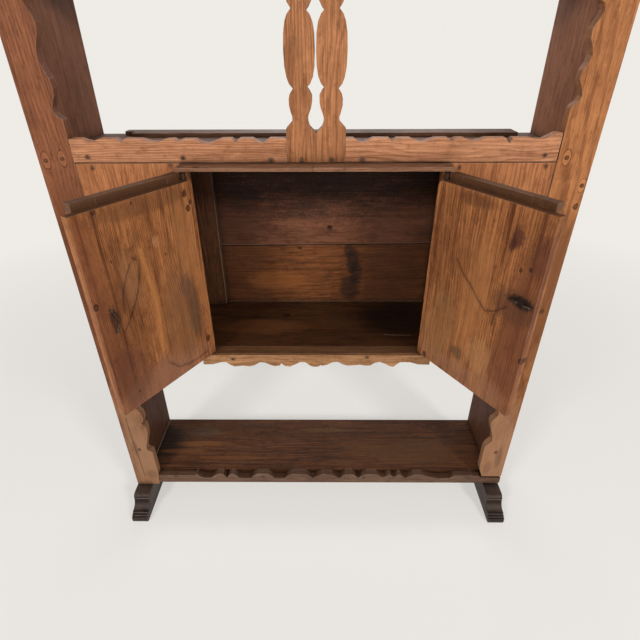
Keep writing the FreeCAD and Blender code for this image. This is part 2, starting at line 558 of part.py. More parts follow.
# Scalloped rails in front of both shelves, left and right of the splats
splat_left = size["splat_shift"] - size["splat_wide"]
splat_right = size["splat_shift"] + size["splat_wide"]
lower_low = "upper_level - shelf_thick + rail_gap"
upper_low = "middle_level - upper_rail_drop"
left_long = stile_edge + splat_left - 2 * size["board_gap"]
right_long = stile_edge - splat_right - 2 * size["board_gap"]
left_words = "stile_face + splat_shift - splat_wide - 2 * board_gap"
right_words = "stile_face - splat_shift - splat_wide - 2 * board_gap"
right_x = "splat_shift + splat_wide + board_gap"
for label, wide, high, x, low, table, long in (
        ("left_lower_rail", left_words, "rail_high", left_x, lower_low, LEFT_RAIL_SHARES, left_long),
        ("right_lower_rail", right_words + " - right_rail_short", "rail_high + rail_horn", right_x,
         lower_low, RIGHT_RAIL_SHARES, right_long - size["right_rail_short"]),
        ("left_upper_rail", left_words, "rail_high", left_x, upper_low, LEFT_RAIL_SHARES, left_long),
        ("right_upper_rail", right_words, "rail_high", right_x, upper_low, LEFT_RAIL_SHARES, right_long)):
    rail = front_board(label, wide, high, x, low)
    saw_edge(rail, table, (0, size["rail_high"]), (1, 0), (0, -1), long, size["rail_dip"])

# Splats: two sawn balusters side by side, straight where they cross the middle rails
splat_high = "frame_high - top_rail_high - upper_level + shelf_thick - rail_gap"
splat_bays = ((rail_low + size["splat_foot"], middle_rail_low),
              (middle_rail_top + size["splat_step"], top_rail_low))
for label, x, outer_left in (
        ("left_splat", "splat_shift - splat_wide", True),
        ("right_splat", "splat_shift + board_gap", False)):
    splat = front_board(label, "splat_wide - board_gap", splat_high, x, lower_low)
    wide = size["splat_wide"] - size["board_gap"]
    for start, end in splat_bays:
        for left_side in (True, False):
            table = SPLAT_OUTER_SHARES if left_side == outer_left else SPLAT_INNER_SHARES
            edge = 0 if left_side else wide
            inward = (1, 0) if left_side else (-1, 0)
            saw_edge(splat, table, (edge, start - rail_low), (0, 1), inward, end - start, size["splat_neck"])

# Top front rail, sawn on its lower edge, and the top board with its moulded edge
top_long = 2 * (stile_edge - size["board_gap"])
top_rail = front_board("top_front_rail", "2 * stile_face - 2 * board_gap", "top_rail_high", left_x,
                       "frame_high - top_rail_high")
for start, end in ((0, stile_edge + splat_left), (stile_edge + splat_right, top_long)):
    saw_edge(top_rail, LEFT_RAIL_SHARES, (start, 0), (1, 0), (0, 1), end - start, size["top_rail_dip"])
top = body("top_board")
pad(top, rectangle(top, "XY", "0", "0", "front_wide + 2 * top_out_side",
                   "top_out_front + front_thick + side_deep + back_thick"), "top_thick")
place(top, "-front_wide / 2 - top_out_side", "-top_out_front", "frame_high")
doc.recompute()


def edges_at(owner, height, sides):
    """Names of the straight edges at a height on the given sides of a board."""
    found = []
    box = owner.Shape.BoundBox
    slack = overrun / 100
    where = {"front": lambda b: b.YMax < box.YMin + slack, "left": lambda b: b.XMax < box.XMin + slack,
             "right": lambda b: b.XMin > box.XMax - slack}
    for number, edge in enumerate(owner.Shape.Edges, 1):
        bounds = edge.BoundBox
        level = abs(bounds.ZMin - height) < slack and abs(bounds.ZMax - height) < slack
        if level and any(where[side](bounds) for side in sides):
            found.append("Edge%d" % number)
    return found


for kind, measure, height in (("PartDesign::Fillet", "top_round", frame_top + size["top_thick"]),
                              ("PartDesign::Chamfer", "top_cove", frame_top)):
    square = top.Tip
    edges = edges_at(top, height, ("front", "left", "right"))
    moulded = top.newObject(kind, "top_board_edge")
    moulded.Base = (square, edges)
    moulded.setExpression("Radius" if kind.endswith("Fillet") else "Size", cells(measure))
    top.Tip = moulded
    doc.recompute()

# Left door, in a frame of its own at the pintle's axis: x runs out along the door,
# y from the outer face to the inner one. It is hung open by turning that frame.
turn = FreeCAD.Rotation(FreeCAD.Vector(0, 0, 1), -size["door_open"])
left_hang = FreeCAD.Placement(FreeCAD.Vector(-size["pivot_half"], -size["pivot_out"], 0), turn)
hinge_edge = -size["pivot_edge"]
plank_face = size["pivot_face"] - size["plank_thick"]
frame_face = plank_face - size["frame_thick"]


def hang(owner, x, y, z):
    """Puts a door piece's own origin in the hung door's frame."""
    owner.Placement = left_hang.multiply(FreeCAD.Placement(FreeCAD.Vector(x, y, z), FreeCAD.Rotation()))


def pin_hole(owner, x, y, level, length, back):
    """Bores a door piece for a pintle, at the pintle's place in the piece."""
    bore = sketch(owner, "XY", level)
    bore.addGeometry(Part.Circle(FreeCAD.Vector(x, y, 0), FreeCAD.Vector(0, 0, 1), size["pin_radius"]), False)
    pocket(owner, bore, length, back)


def leg_holes(owner, x, y, legs):
    """Bores a door piece right through for the two legs of its pull."""
    for along, up in legs:
        bore = sketch(owner, "XZ", "overrun")
        centre, axis = FreeCAD.Vector(x + along, y + up, 0), FreeCAD.Vector(0, 0, 1)
        bore.addGeometry(Part.Circle(centre, axis, size["pull_hole"]), False)
        pocket(owner, bore, "plank_thick + frame_thick + 2 * overrun")


legs_of = {
    "left": ((0, size["left_pull_legs"] / 2), (0, -size["left_pull_legs"] / 2)),
    "right": ((-size["right_pull_legs"] / 2, 0), (size["right_pull_legs"] / 2, 0)),
}
pull_x = door_wide - size["pull_edge"]


def door_pieces(side, keep):
    """The pieces of one door as a left-hand door; keep says which function names them."""
    pull_level = size["floor_level"] + size[side + "_pull_rise"]
    legs = legs_of[side]
    # Inner plank, rounded at its upper hinge corner, bored from both ends
    board = keep("door_plank")
    high, round_off = plank_top - door_low, size["plank_round"]
    arc_middle = round_off * (1 - math.sqrt(0.5))
    drawn = sketch(board, "XZ")
    drawn.addGeometry(Part.Arc(FreeCAD.Vector(0, high - round_off, 0),
                               FreeCAD.Vector(arc_middle, high - arc_middle, 0),
                               FreeCAD.Vector(round_off, high, 0)), False)
    corners = ((round_off, high), (door_wide, high), (door_wide, 0), (0, 0), (0, high - round_off))
    for start, end in zip(corners, corners[1:]):
        drawn.addGeometry(Part.LineSegment(FreeCAD.Vector(*start, 0), FreeCAD.Vector(*end, 0)), False)
    pad(board, drawn, "plank_thick", True)
    pin_hole(board, size["pivot_edge"], -plank_face, "plank_high + overrun", "pin_in_door + overrun", False)
    pin_hole(board, size["pivot_edge"], -plank_face, "-overrun", "pin_in_door + overrun", True)
    leg_holes(board, pull_x, pull_level - door_low, legs)
    hang(board, hinge_edge, plank_face, door_low)
    # Outer stiles, full height; the hinge stile's lip is cut back around the pintle
    for name, x in (("hinge_stile", 0), ("free_stile", outer_wide - size["frame_wide"])):
        board = keep(name)
        pad(board, rectangle(board, "XZ", "0", "0", "frame_wide", "outer_high"), "frame_thick", True)
        inner = name == "hinge_stile"
        groove_left = "frame_wide - field_in" if inner else "0"
        slot_left = "frame_wide - frame_tenon" if inner else "0"
        middle = "-(frame_thick - frame_tongue) / 2"
        groove = rectangle(board, "XZ", groove_left, "frame_wide - overrun", "field_in",
                           "outer_high - 2 * frame_wide + 2 * overrun", middle)
        pocket(board, groove, "frame_tongue")
        for low in ("overrun", "outer_high - frame_wide + overrun"):
            slot = rectangle(board, "XZ", slot_left, low, "frame_tenon", "frame_wide - 2 * overrun", middle)
            pocket(board, slot, "frame_tongue")
        if inner:
            notch = rectangle(board, "XZ", "0", "plank_high", "pin_notch", "lip_high + overrun", "overrun")
            pocket(board, notch, "frame_thick + 2 * overrun")
            pin_hole(board, size["pivot_edge"], -frame_face, "plank_high + overrun",
                     "pin_in_door + overrun", False)
            pin_hole(board, size["pivot_edge"], -frame_face, "-overrun", "pin_in_door + overrun", True)
        else:
            leg_holes(board, pull_x - x, pull_level - door_low, legs)
        hang(board, hinge_edge + x, frame_face, door_low)
    # Outer rails with a tenon at each end and a groove for the field
    for name, low in (("top_rail", lip_top - size["frame_wide"]), ("bottom_rail", door_low)):
        board = keep(name)
        long_words = "outer_wide - 2 * frame_wide"
        pad(board, rectangle(board, "XZ", "frame_tenon", "0", long_words, "frame_wide"), "frame_thick", True)
        tenons = rectangle(board, "XZ", "0", "overrun", long_words + " + 2 * frame_tenon",
                           "frame_wide - 2 * overrun", "-(frame_thick - frame_tongue) / 2")
        pad(board, tenons, "frame_tongue", True)
        groove_low = "0" if name == "top_rail" else "frame_wide - field_in"
        groove = rectangle(board, "XZ", "frame_tenon", groove_low, long_words, "field_in",
                           "-(frame_thick - frame_tongue) / 2")
        pocket(board, groove, "frame_tongue")
        hang(board, hinge_edge + size["frame_wide"] - size["frame_tenon"], frame_face, low)
    # Field: its edge sits in the grooves and its face rises in a bevel
    board = keep("field_panel")
    field_wide = "outer_wide - 2 * frame_wide + 2 * field_in"
    field_high = "outer_high - 2 * frame_wide + 2 * field_in"
    pad(board, rectangle(board, "XZ", "0", "0", field_wide, field_high), "frame_tongue", True)
    wide = outer_wide - 2 * size["frame_wide"] + 2 * size["field_in"]
    tall = lip_top - door_low - 2 * size["frame_wide"] + 2 * size["field_in"]
    rise = (size["frame_thick"] - size["frame_tongue"]) / 2
    rings = []
    for inset, offset in ((size["field_in"] + size["board_gap"], "0"),
                          (size["field_in"] + size["field_bevel"], "(frame_thick - frame_tongue) / 2")):
        corners = ((inset, inset), (wide - inset, inset), (wide - inset, tall - inset), (inset, tall - inset))
        rings.append(outline(board, "XZ", [corners], offset))
    bevel = board.newObject("PartDesign::AdditiveLoft", board.Name + "_bevel")
    bevel.Profile = rings[0]
    bevel.Sections = [rings[1]]
    bevel.Ruled = True
    hang(board, hinge_edge + size["frame_wide"] - size["field_in"], frame_face + rise,
         door_low + size["frame_wide"] - size["field_in"])
    # Wooden pintles, in the door and in the ledge over it or the sill under it
    for name, low, long_words in (
            ("top_pintle", plank_top - size["pin_in_door"],
             "pin_in_door + lip_high + lip_gap + ledge_thick - pin_short"),
            ("bottom_pintle", size["floor_level"] - size["pin_in_sill"],
             "pin_in_sill + door_low_gap + pin_in_door")):
        pin = keep(name)
        drawn = sketch(pin, "XY")
        drawn.addGeometry(Part.Circle(FreeCAD.Vector(), FreeCAD.Vector(0, 0, 1), size["pin_radius"]), False)
        pad(pin, drawn, long_words)
        hang(pin, 0, 0, low)


def rod(points, bends):
    """A square iron rod along straight runs joined by bends, as one swept solid."""
    edges = []
    start = points[0]
    for before, corner, after, bend in zip(points, points[1:], points[2:], bends):
        back = (before - corner).normalize()
        on = (after - corner).normalize()
        reach = bend / math.tan(back.getAngle(on) / 2)
        middle = corner + (back + on).normalize() * (bend / math.sin(back.getAngle(on) / 2) - bend)
        edges.append(Part.LineSegment(start, corner + back * reach).toShape())
        edges.append(Part.Arc(corner + back * reach, middle, corner + on * reach).toShape())
        start = corner + on * reach
    edges.append(Part.LineSegment(start, points[-1]).toShape())
    run = (points[1] - points[0]).normalize()
    wide = FreeCAD.Vector(0, 1, 0) * (size["pull_thick"] / 2)
    high = run.cross(FreeCAD.Vector(0, 1, 0)) * (size["pull_thick"] / 2)
    corners = [points[0] + turned for turned in (wide + high, wide - high, -wide - high, -wide + high)]
    ring = Part.makePolygon(corners + corners[:1])
    return Part.Wire(edges).makePipeShell([ring], True, False)


def pull(side):
    """The pull of one door as a left-hand door, its legs clinched on the inner face."""
    legs = legs_of[side]
    level = size["floor_level"] + size[side + "_pull_rise"]
    face = size["pivot_face"] + size["pull_off_face"] + size["pull_thick"] / 2
    front = frame_face - size["pull_out"]
    centre_x = hinge_edge + pull_x
    feet = [FreeCAD.Vector(centre_x + along, face, level + up) for along, up in legs]
    bow = [FreeCAD.Vector(point.x, front, point.z) for point in feet]
    if side == "left":
        tips = [FreeCAD.Vector(along, 0, up) * size[long]
                for (along, up), long in zip(TIP_SLANT_SHARES, ("left_long_tip", "left_short_tip"))]
        bow_bend = size["left_pull_legs"] * BOW_SHARE
    else:
        tips = [FreeCAD.Vector(-size["right_tip"], 0, 0), FreeCAD.Vector(size["right_tip"], 0, 0)]
        bow_bend = size["right_pull_legs"] * BOW_SHARE
    points = [feet[0] + tips[0], feet[0], bow[0], bow[1], feet[1], feet[1] + tips[1]]
    bends = [size["clinch_bend"], bow_bend, bow_bend, size["clinch_bend"]]
    return rod(points, bends)


def hung_pull(side, label):
    """The pull as an object of its own, hung with the left door."""
    made = doc.addObject("Part::Feature", label)
    made.Shape = pull(side)
    made.Placement = left_hang
    made.Label = label
    return made


drafts = []


def draft(name):
    """A left-hand draft of a right door's piece, which is then mirrored."""
    made = doc.addObject("PartDesign::Body", "draft_" + name)
    drafts.append((name, made))
    return made


door_pieces("left", lambda name: body("left_" + name))
nodes.append(hung_pull("left", "left_pull_loop"))
door_pieces("right", draft)
drafts.append(("pull_loop", hung_pull("right", "draft_pull_loop")))
for name, source in drafts:
    mirrored("right_" + name, source)
doc.recompute()


def corners_of(x, z, radius, sides):
    """Corners of a regular outline round a place on the front."""
    turns = [2 * math.pi * (number + 0.5) / sides for number in range(sides)]
    return [(x + radius * math.cos(turn), z + radius * math.sin(turn)) for turn in turns]


def upright(corners, y):
    """The outline as a closed wire in an upright plane."""
    points = [FreeCAD.Vector(x, y, z) for x, z in corners]
    return Part.makePolygon(points + points[:1])


def fasten(label, rows, radius, sides, long_name, short_name, solid_of):
    """Drives a group through front boards, and cuts the holes that it fills."""
    bores, solids = {}, []
    for board_name, behind_name, across, rise in rows:
        board, behind = doc.getObject(board_name), doc.getObject(behind_name)
        box, back = board.Shape.BoundBox, behind.Shape.BoundBox
        low, high = max(box.XMin, back.XMin), min(box.XMax, back.XMax)
        x, z = low + across * (high - low), back.ZMin + rise * back.ZLength
        thin = behind_name == "cupboard_sill"
        reach = short_name + " - lip_board_thick" if thin else long_name + " - front_thick"
        for piece, length in ((board, "front_thick + overrun"), (behind, reach)):
            at = piece.Placement.Base
            ring = corners_of(x - at.x, z - at.z, radius, sides)
            bores.setdefault((piece.Name, length), []).append(ring)
        solids.append(solid_of(x, z, box.YMin, size[short_name if thin else long_name]))
    for (name, length), rings in bores.items():
        piece = doc.getObject(name)
        pocket(piece, outline(piece, "XZ", rings, "overrun"), length + " + overrun")
    group = doc.addObject("Part::Feature", label)
    group.Shape = Part.makeCompound(solids)
    group.Label = label
    nodes.append(group)


def nail(x, z, front, long):
    """A forged nail: a square shank under a low faceted head."""
    shank = Part.Face(upright(corners_of(x, z, size["nail_radius"], 4), front))
    shank = shank.extrude(FreeCAD.Vector(0, long, 0))
    rim = upright(corners_of(x, z, size["nail_head"], 8), front)
    crown = upright(corners_of(x, z, size["nail_radius"], 8), front - size["nail_proud"])
    return shank.fuse(Part.makeLoft([rim, crown], True, True)).removeSplitter()


def peg(x, z, front, long):
    """A whittled peg with eight faces."""
    end = Part.Face(upright(corners_of(x, z, size["peg_radius"], 8), front - size["peg_proud"]))
    return end.extrude(FreeCAD.Vector(0, long + size["peg_proud"], 0))


fasten("carcass_nails", NAIL_SHARES, size["nail_radius"], 4, "nail_long", "nail_short", nail)
fasten("stile_pegs", PEG_SHARES, size["peg_radius"], 8, "peg_long", "peg_long", peg)
doc.recompute()

for thing in doc.Objects:
    if "Invalid" in thing.State or "Error" in thing.State:
        raise RuntimeError("failed: " + thing.Name)
for node in nodes:
    if node.Shape.isNull() or not node.Shape.isValid():
        raise RuntimeError("no valid shape: " + node.Label)
os.makedirs("parts", exist_ok=True)
for node in nodes:
    node.Shape.exportStep("parts/" + node.Label + ".step")
    print("%-20s solids %d volume %.0f" % (node.Label, len(node.Shape.Solids), node.Shape.Volume))
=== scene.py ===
"""Trastero cabinet: waxed pine boards, two open cupboard doors on wooden pins, dark shoe feet."""
import math

import bpy
import numpy as np
from mathutils import Matrix, Vector


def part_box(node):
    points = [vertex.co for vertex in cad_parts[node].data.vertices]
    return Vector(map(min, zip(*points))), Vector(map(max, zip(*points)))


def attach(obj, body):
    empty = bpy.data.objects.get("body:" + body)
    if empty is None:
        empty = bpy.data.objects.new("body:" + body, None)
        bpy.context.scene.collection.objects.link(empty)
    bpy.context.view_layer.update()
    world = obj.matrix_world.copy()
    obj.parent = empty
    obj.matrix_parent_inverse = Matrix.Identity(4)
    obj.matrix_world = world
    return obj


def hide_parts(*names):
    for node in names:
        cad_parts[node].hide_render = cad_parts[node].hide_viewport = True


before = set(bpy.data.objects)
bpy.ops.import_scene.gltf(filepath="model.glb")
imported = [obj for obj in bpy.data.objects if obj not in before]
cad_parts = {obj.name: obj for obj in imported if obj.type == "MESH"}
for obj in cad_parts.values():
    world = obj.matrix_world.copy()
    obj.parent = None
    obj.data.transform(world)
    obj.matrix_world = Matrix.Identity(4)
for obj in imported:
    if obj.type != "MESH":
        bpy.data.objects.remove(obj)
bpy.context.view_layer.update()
scene = bpy.context.scene

# Camera
# A wide lens a little above the doors' top edge looks down on the cabinet, so that the
# uprights lean apart towards the top of the picture.
EYE, FOCAL_LENGTH, FILM = (0.0188, -1.0326, 1.335), 25.975, 36
LOOK_DOWN, LOOK_LEFT, TILT = (math.radians(a) for a in (31.19, 0.4994, -0.2336))
ahead = Vector((-math.sin(LOOK_LEFT) * math.cos(LOOK_DOWN), math.cos(LOOK_LEFT) * math.cos(LOOK_DOWN),
                -math.sin(LOOK_DOWN)))
right = Vector((math.cos(LOOK_LEFT), math.sin(LOOK_LEFT), 0))
up = right.cross(ahead)
right, up = math.cos(TILT) * right + math.sin(TILT) * up, math.cos(TILT) * up - math.sin(TILT) * right
lens = bpy.data.cameras.new("camera")
lens.lens, lens.sensor_width = FOCAL_LENGTH, FILM
camera = bpy.data.objects.new("camera", lens)
scene.collection.objects.link(camera)
camera.matrix_world = (Matrix.Translation(EYE)
                       @ Matrix((right, up, -ahead)).transposed().to_4x4())
scene.camera = camera
scene.view_settings.view_transform = "Standard"

# Studio
# A pale floor that runs out into a pale backdrop, two soft lamps before the cabinet, left
# and right, whose light crosses in the cupboard, and two weaker ones in front and behind.
PALE, SKY = (0.86, 0.835, 0.79, 1), (0.96, 0.97, 1.0, 1)


def for_the_eye(nodes, links):
    """Gives 1 to the camera's rays and to those that it sees in gloss or glass, else 0."""
    path, direct, shiny = (nodes.new("ShaderNode" + kind) for kind in ("LightPath", "Math", "Math"))
    direct.operation = shiny.operation = "MAXIMUM"
    links.new(path.outputs["Is Camera Ray"], direct.inputs[0])
    links.new(path.outputs["Is Glossy Ray"], direct.inputs[1])
    links.new(direct.outputs[0], shiny.inputs[0])
    links.new(path.outputs["Is Transmission Ray"], shiny.inputs[1])
    return shiny.outputs[0]


world = bpy.data.worlds.new("studio")
scene.world = world
world.use_nodes = True
nodes, links = world.node_tree.nodes, world.node_tree.links
nodes.clear()
seen, soft, both, out = (nodes.new("ShaderNode" + kind) for kind in
                         ("Background", "Background", "MixShader", "OutputWorld"))
seen.inputs["Color"].default_value = PALE
soft.inputs["Color"].default_value = SKY
soft.inputs["Strength"].default_value = 0.20
links.new(for_the_eye(nodes, links), both.inputs["Fac"])
links.new(soft.outputs[0], both.inputs[1])
links.new(seen.outputs[0], both.inputs[2])
links.new(both.outputs[0], out.inputs["Surface"])


def solid(name, points, faces, crease=None):
    """Makes a mesh object. Where crease is given, the surface is shaded smooth over every
    edge that turns by fewer degrees."""
    mesh = bpy.data.meshes.new(name)
    mesh.from_pydata(points, [], faces)
    if crease:
        mesh.polygons.foreach_set("use_smooth", [True] * len(faces))
        mesh.set_sharp_from_angle(angle=math.radians(crease))
    made = bpy.data.objects.new(name, mesh)
    scene.collection.objects.link(made)
    return made


def span(node, *values):
    """Sets what a Map Range node maps: from low, from high, to low and to high."""
    for value, socket in zip(values, list(node.inputs)[1:5]):
        socket.default_value = value


# The floor is lit as any surface near the cabinet, so that it keeps the shadow, and
# turns into the backdrop's own colour further out.
REACH = 9
floor = solid("floor", [(-REACH, -REACH, 0), (REACH, -REACH, 0), (REACH, REACH, 0), (-REACH, REACH, 0)],
              [(0, 1, 2, 3)])
pale = bpy.data.materials.new("pale_floor")
pale.use_nodes = True
nodes, links = pale.node_tree.nodes, pale.node_tree.links
ground = nodes["Principled BSDF"]
ground.inputs["Base Color"].default_value = (0.80, 0.785, 0.755, 1)
ground.inputs["Roughness"].default_value = 0.7
backdrop, over, where, away, far, share = (nodes.new("ShaderNode" + kind) for kind in (
    "Emission", "MixShader", "TexCoord", "VectorMath", "MapRange", "Math"))
backdrop.inputs["Color"].default_value = PALE
away.operation = "LENGTH"
links.new(where.outputs["Object"], away.inputs[0])
links.new(away.outputs["Value"], far.inputs["Value"])
span(far, 0.9, 3.2, 0.55, 1.0)
share.operation = "MULTIPLY"
links.new(for_the_eye(nodes, links), share.inputs[0])
links.new(far.outputs[0], share.inputs[1])
links.new(share.outputs[0], over.inputs["Fac"])
links.new(ground.outputs[0], over.inputs[1])
links.new(backdrop.outputs[0], over.inputs[2])
links.new(over.outputs[0], nodes["Material Output"].inputs["Surface"])
floor.data.materials.append(pale)

for name, place, aim, wide, tall, watts, colour in (
        ("lamp_left", (-2.05, -3.0, 2.72), (0, 0.05, 0.85), 0.75, 0.6, 90, (1.0, 0.985, 0.96)),
        ("lamp_right", (2.33, -3.0, 2.72), (0, 0.05, 0.85), 0.75, 0.6, 102, (1.0, 0.985, 0.96)),
        ("lamp_front", (0.0, -3.2, 1.5), (0, 0.05, 0.75), 2.0, 1.2, 22, (1.0, 1.0, 1.0)),
        ("lamp_back", (0.0, 2.6, 2.6), (0, 0.1, 0.9), 2.0, 1.2, 34, (1.0, 1.0, 1.0))):
    light = bpy.data.lights.new(name, "AREA")
    light.shape, light.size, light.size_y = "RECTANGLE", wide, tall
    light.energy, light.color = watts, colour
    lamp = bpy.data.objects.new(name, light)
    scene.collection.objects.link(lamp)
    lamp.matrix_world = (Matrix.Translation(place)
                         @ (Vector(aim) - Vector(place)).to_track_quat("-Z", "Y").to_matrix().to_4x4())


# Side planks
# Two thick sawn pine boards from the feet to the top, grain upright. Old wax and smoke
# have turned their inner faces a dark reddish brown.
WORN_WIDTH, CORNER_WIDTH, GRAIN_DEPTH, RAYS = 0.0024, 0.03, 0.0015, 6


def pine(name, grain, face, light, dark, shift, rings=330, pith=(0.16, 0.05), contrast=0.55, tone=0.6,
         dirt=0.35, streak=0.3, edge=(0.60, 0.36, 0.21), rim=0.45, top=None, knots=(), eyes=(), marks=(),
         lines=(), skin=None, gloss=0.5, shine=0.12, door=None):
    """Sawn pine. The rings are circles about a pith beside and behind the board's face that
    drifts along the grain, and each knot pushes them aside. grain is the axis of the fibres,
    face the axis of the broad face, and a place is given along the grain and across it.
    knots are (along, across, radius), eyes are pale oval knots (along, across, half length,
    half width), marks are soft spots (along, across, half length, half width, colour,
    strength), and lines are (points, half width, colour, strength), of which dark ones are
    cut into the wood. Where skin is given, marks stay on the broad face that lies there. edge
    and rim are the colour and strength of worn edges, and top those of the dust on faces
    that look up. A door's wood is laid out on the door's own frame: out from its pin's
    axis, towards its inner face, and up."""
    material = bpy.data.materials.new(name)
    material.use_nodes = True
    nodes, links = material.node_tree.nodes, material.node_tree.links
    shader = nodes["Principled BSDF"]
    black, brown = [c * 0.12 for c in dark], [c * 0.5 for c in dark]
    middle = [0.5 * a + 0.5 * b for a, b in zip(light, dark)]

    def plug(value, socket):
        if hasattr(value, "default_value"):
            links.new(value, socket)
        else:
            socket.default_value = value

    def calc(kind, *values):
        node = nodes.new("ShaderNodeMath")
        node.operation = kind
        for value, socket in zip(values, node.inputs):
            plug(value, socket)
        return node.outputs[0]

    def vector(kind, *values):
        node = nodes.new("ShaderNodeVectorMath")
        node.operation = kind
        sockets = (node.inputs[0], node.inputs["Scale"]) if kind == "SCALE" else node.inputs
        for value, socket in zip(values, sockets):
            plug(value, socket)
        return node.outputs["Value" if kind in ("LENGTH", "DOT_PRODUCT") else "Vector"]

    def joined(x, y, z):
        node = nodes.new("ShaderNodeCombineXYZ")
        for value, socket in zip((x, y, z), node.inputs):
            plug(value, socket)
        return node.outputs[0]

    def ramp(value, low, high, to_low=0.0, to_high=1.0):
        node = nodes.new("ShaderNodeMapRange")
        node.interpolation_type = "SMOOTHSTEP"
        for item, socket in zip((value, low, high, to_low, to_high), node.inputs):
            plug(item, socket)
        return node.outputs[0]

    def blend(share, under, over):
        node = nodes.new("ShaderNodeMix")
        node.data_type = "RGBA"
        plug(share, node.inputs[0])
        for value, socket in zip((under, over), (node.inputs[6], node.inputs[7])):
            plug(value if hasattr(value, "default_value") else (*value, 1), socket)
        return node.outputs[2]

    def cloud(along_scale, across_scale, detail=3.0, rough=0.55, offset=0.0):
        noise = nodes.new("ShaderNodeTexNoise")
        noise.inputs["Scale"].default_value = 1
        noise.inputs["Detail"].default_value = detail
        noise.inputs["Roughness"].default_value = rough
        links.new(joined(calc("MULTIPLY", along, along_scale), calc("MULTIPLY", across, across_scale),
                         calc("MULTIPLY_ADD", deep, across_scale, offset)), noise.inputs["Vector"])
        return noise.outputs["Fac"]

    def swing(value, amount):
        return calc("MULTIPLY_ADD", value, amount, -0.5 * amount)

    def oval(far, wide, length, width):
        return vector("LENGTH", joined(calc("DIVIDE", calc("SUBTRACT", plain[0], far), length),
                                       calc("DIVIDE", calc("SUBTRACT", plain[1], wide), width), 0.0))

    def shove(distance, wide, strength):
        fading = calc("ADD", calc("MULTIPLY", distance, distance), 1.0)
        return calc("MULTIPLY", calc("DIVIDE", calc("SUBTRACT", plain[1], wide), fading), strength)

    spot = nodes.new("ShaderNodeTexCoord").outputs["Object"]
    if door:
        own = nodes.new("ShaderNodeMapping")
        links.new(spot, own.inputs["Vector"])
        own.inputs["Scale"].default_value[0] = 1 if door == "left" else -1
        own.inputs["Rotation"].default_value[2] = OPEN
        pin = Matrix.Rotation(OPEN, 3, "Z") @ Vector((-PIN[0], PIN[1], 0))
        own.inputs["Location"].default_value = -pin
        spot = own.outputs[0]
    parts = nodes.new("ShaderNodeSeparateXYZ")
    links.new(spot, parts.inputs[0])
    third = ({"X", "Y", "Z"} - {grain, face}).pop()
    plain = [parts.outputs["XYZ".index(axis)] for axis in (grain, third, face)]
    along, across, deep = (calc("ADD", value, move) for value, move in zip(plain, shift))
    ragged = cloud(34, 46, 4, 0.65, 4.0)
    crumbly = cloud(150, 220, 3, 0.65, 17.0)

    # Rings
    side = calc("ADD", calc("ADD", across, pith[0]), swing(cloud(1.1, 5, 2), 0.08))
    behind = calc("ADD", calc("ADD", deep, pith[1]), swing(cloud(0.8, 2, 1, 0.5, 3.0), 0.05))
    eye = None
    for far, wide, radius in knots:
        distance = oval(far, wide, radius * 1.4, radius)
        side = calc("ADD", side, shove(distance, wide, -1.7))
        distance = calc("ADD", calc("ADD", distance, swing(ragged, 0.8)), swing(crumbly, 1.4))
        eye = distance if eye is None else calc("MINIMUM", eye, distance)
    for far, wide, length, width in eyes:
        distance = oval(far, wide, length, width)
        side = calc("ADD", side, shove(distance, wide, -1.2))
    radius = vector("LENGTH", joined(side, behind, 0.0))
    wavy = calc("ADD", radius, swing(cloud(5, 22, 3, 0.5, 7.0), 0.012))
    saw = calc("FRACT", calc("MULTIPLY", wavy, rings))
    late = calc("MULTIPLY", ramp(saw, 0.4, 0.86), ramp(saw, 0.93, 1.0, 1.0, 0.0))

    # Colour, from the wood outwards to what lies on it
    fibre = cloud(22, 900, 3, 0.6)
    fine = cloud(60, 2600, 2, 0.6, 11.0)
    hair = cloud(7, 330, 4, 0.68, 13.0)
    streaks = cloud(2.2, 75, 6, 0.68, 5.0)
    patches = cloud(4, 11, 6, 0.68, 2.0)
    mottle = cloud(34, 60, 5, 0.72, 15.0)
    pale = [min(1, c * 1.45) for c in light]
    colour = blend(ramp(cloud(2.6, 6, 5, 0.66, 8.0), 0.40, 0.62, 0.0, tone), light, middle)
    colour = blend(ramp(streaks, 0.50, 0.66, 0.0, streak * 1.6), colour, dark)
    colour = blend(ramp(streaks, 0.46, 0.30, 0.0, streak), colour, pale)
    share = calc("MULTIPLY", late, ramp(streaks, 0.3, 0.62, contrast * 0.5, contrast))
    colour = blend(share, colour, dark)
    colour = blend(ramp(hair, 0.50, 0.67, 0.0, 0.55), colour, dark)
    colour = blend(ramp(hair, 0.47, 0.33, 0.0, 0.35), colour, pale)
    colour = blend(ramp(mottle, 0.51, 0.68, 0.0, 0.55), colour, dark)
    colour = blend(ramp(mottle, 0.46, 0.32, 0.0, 0.30), colour, pale)
    colour = blend(ramp(fibre, 0.35, 0.75, 0.0, 0.35), colour, brown)
    colour = blend(ramp(cloud(120, 190, 2, 0.6, 21.0), 0.66, 0.76, 0.0, 0.6), colour, brown)
    for far, wide, length, width, tint, strength in marks:
        spread = calc("ADD", oval(far, wide, length, width), swing(patches, 1.5))
        spread = calc("ADD", calc("ADD", spread, swing(hair, 1.3)), swing(crumbly, 0.7))
        share = ramp(spread, 0.6, 1.2, strength, 0.0)
        if skin is not None:
            depth = calc("ABSOLUTE", calc("SUBTRACT", plain[2], skin))
            share = calc("MULTIPLY", share, ramp(depth, 0.004, 0.012, 1.0, 0.0))
        colour = blend(share, colour, tint)
    for far, wide, length, width in eyes:
        distance = calc("ADD", oval(far, wide, length, width), swing(ragged, 0.5))
        colour = blend(ramp(distance, 0.8, 1.0, 0.45, 0.0), colour, pale)
        for size, strength in ((1.0, 0.5), (0.62, 0.25)):
            ring = calc("ABSOLUTE", calc("SUBTRACT", distance, size))
            colour = blend(ramp(ring, 0.03, 0.13, strength, 0.0), colour, brown)
    if eye is not None:
        colour = blend(ramp(eye, 0.7, 1.3, 0.75, 0.0), colour, brown)
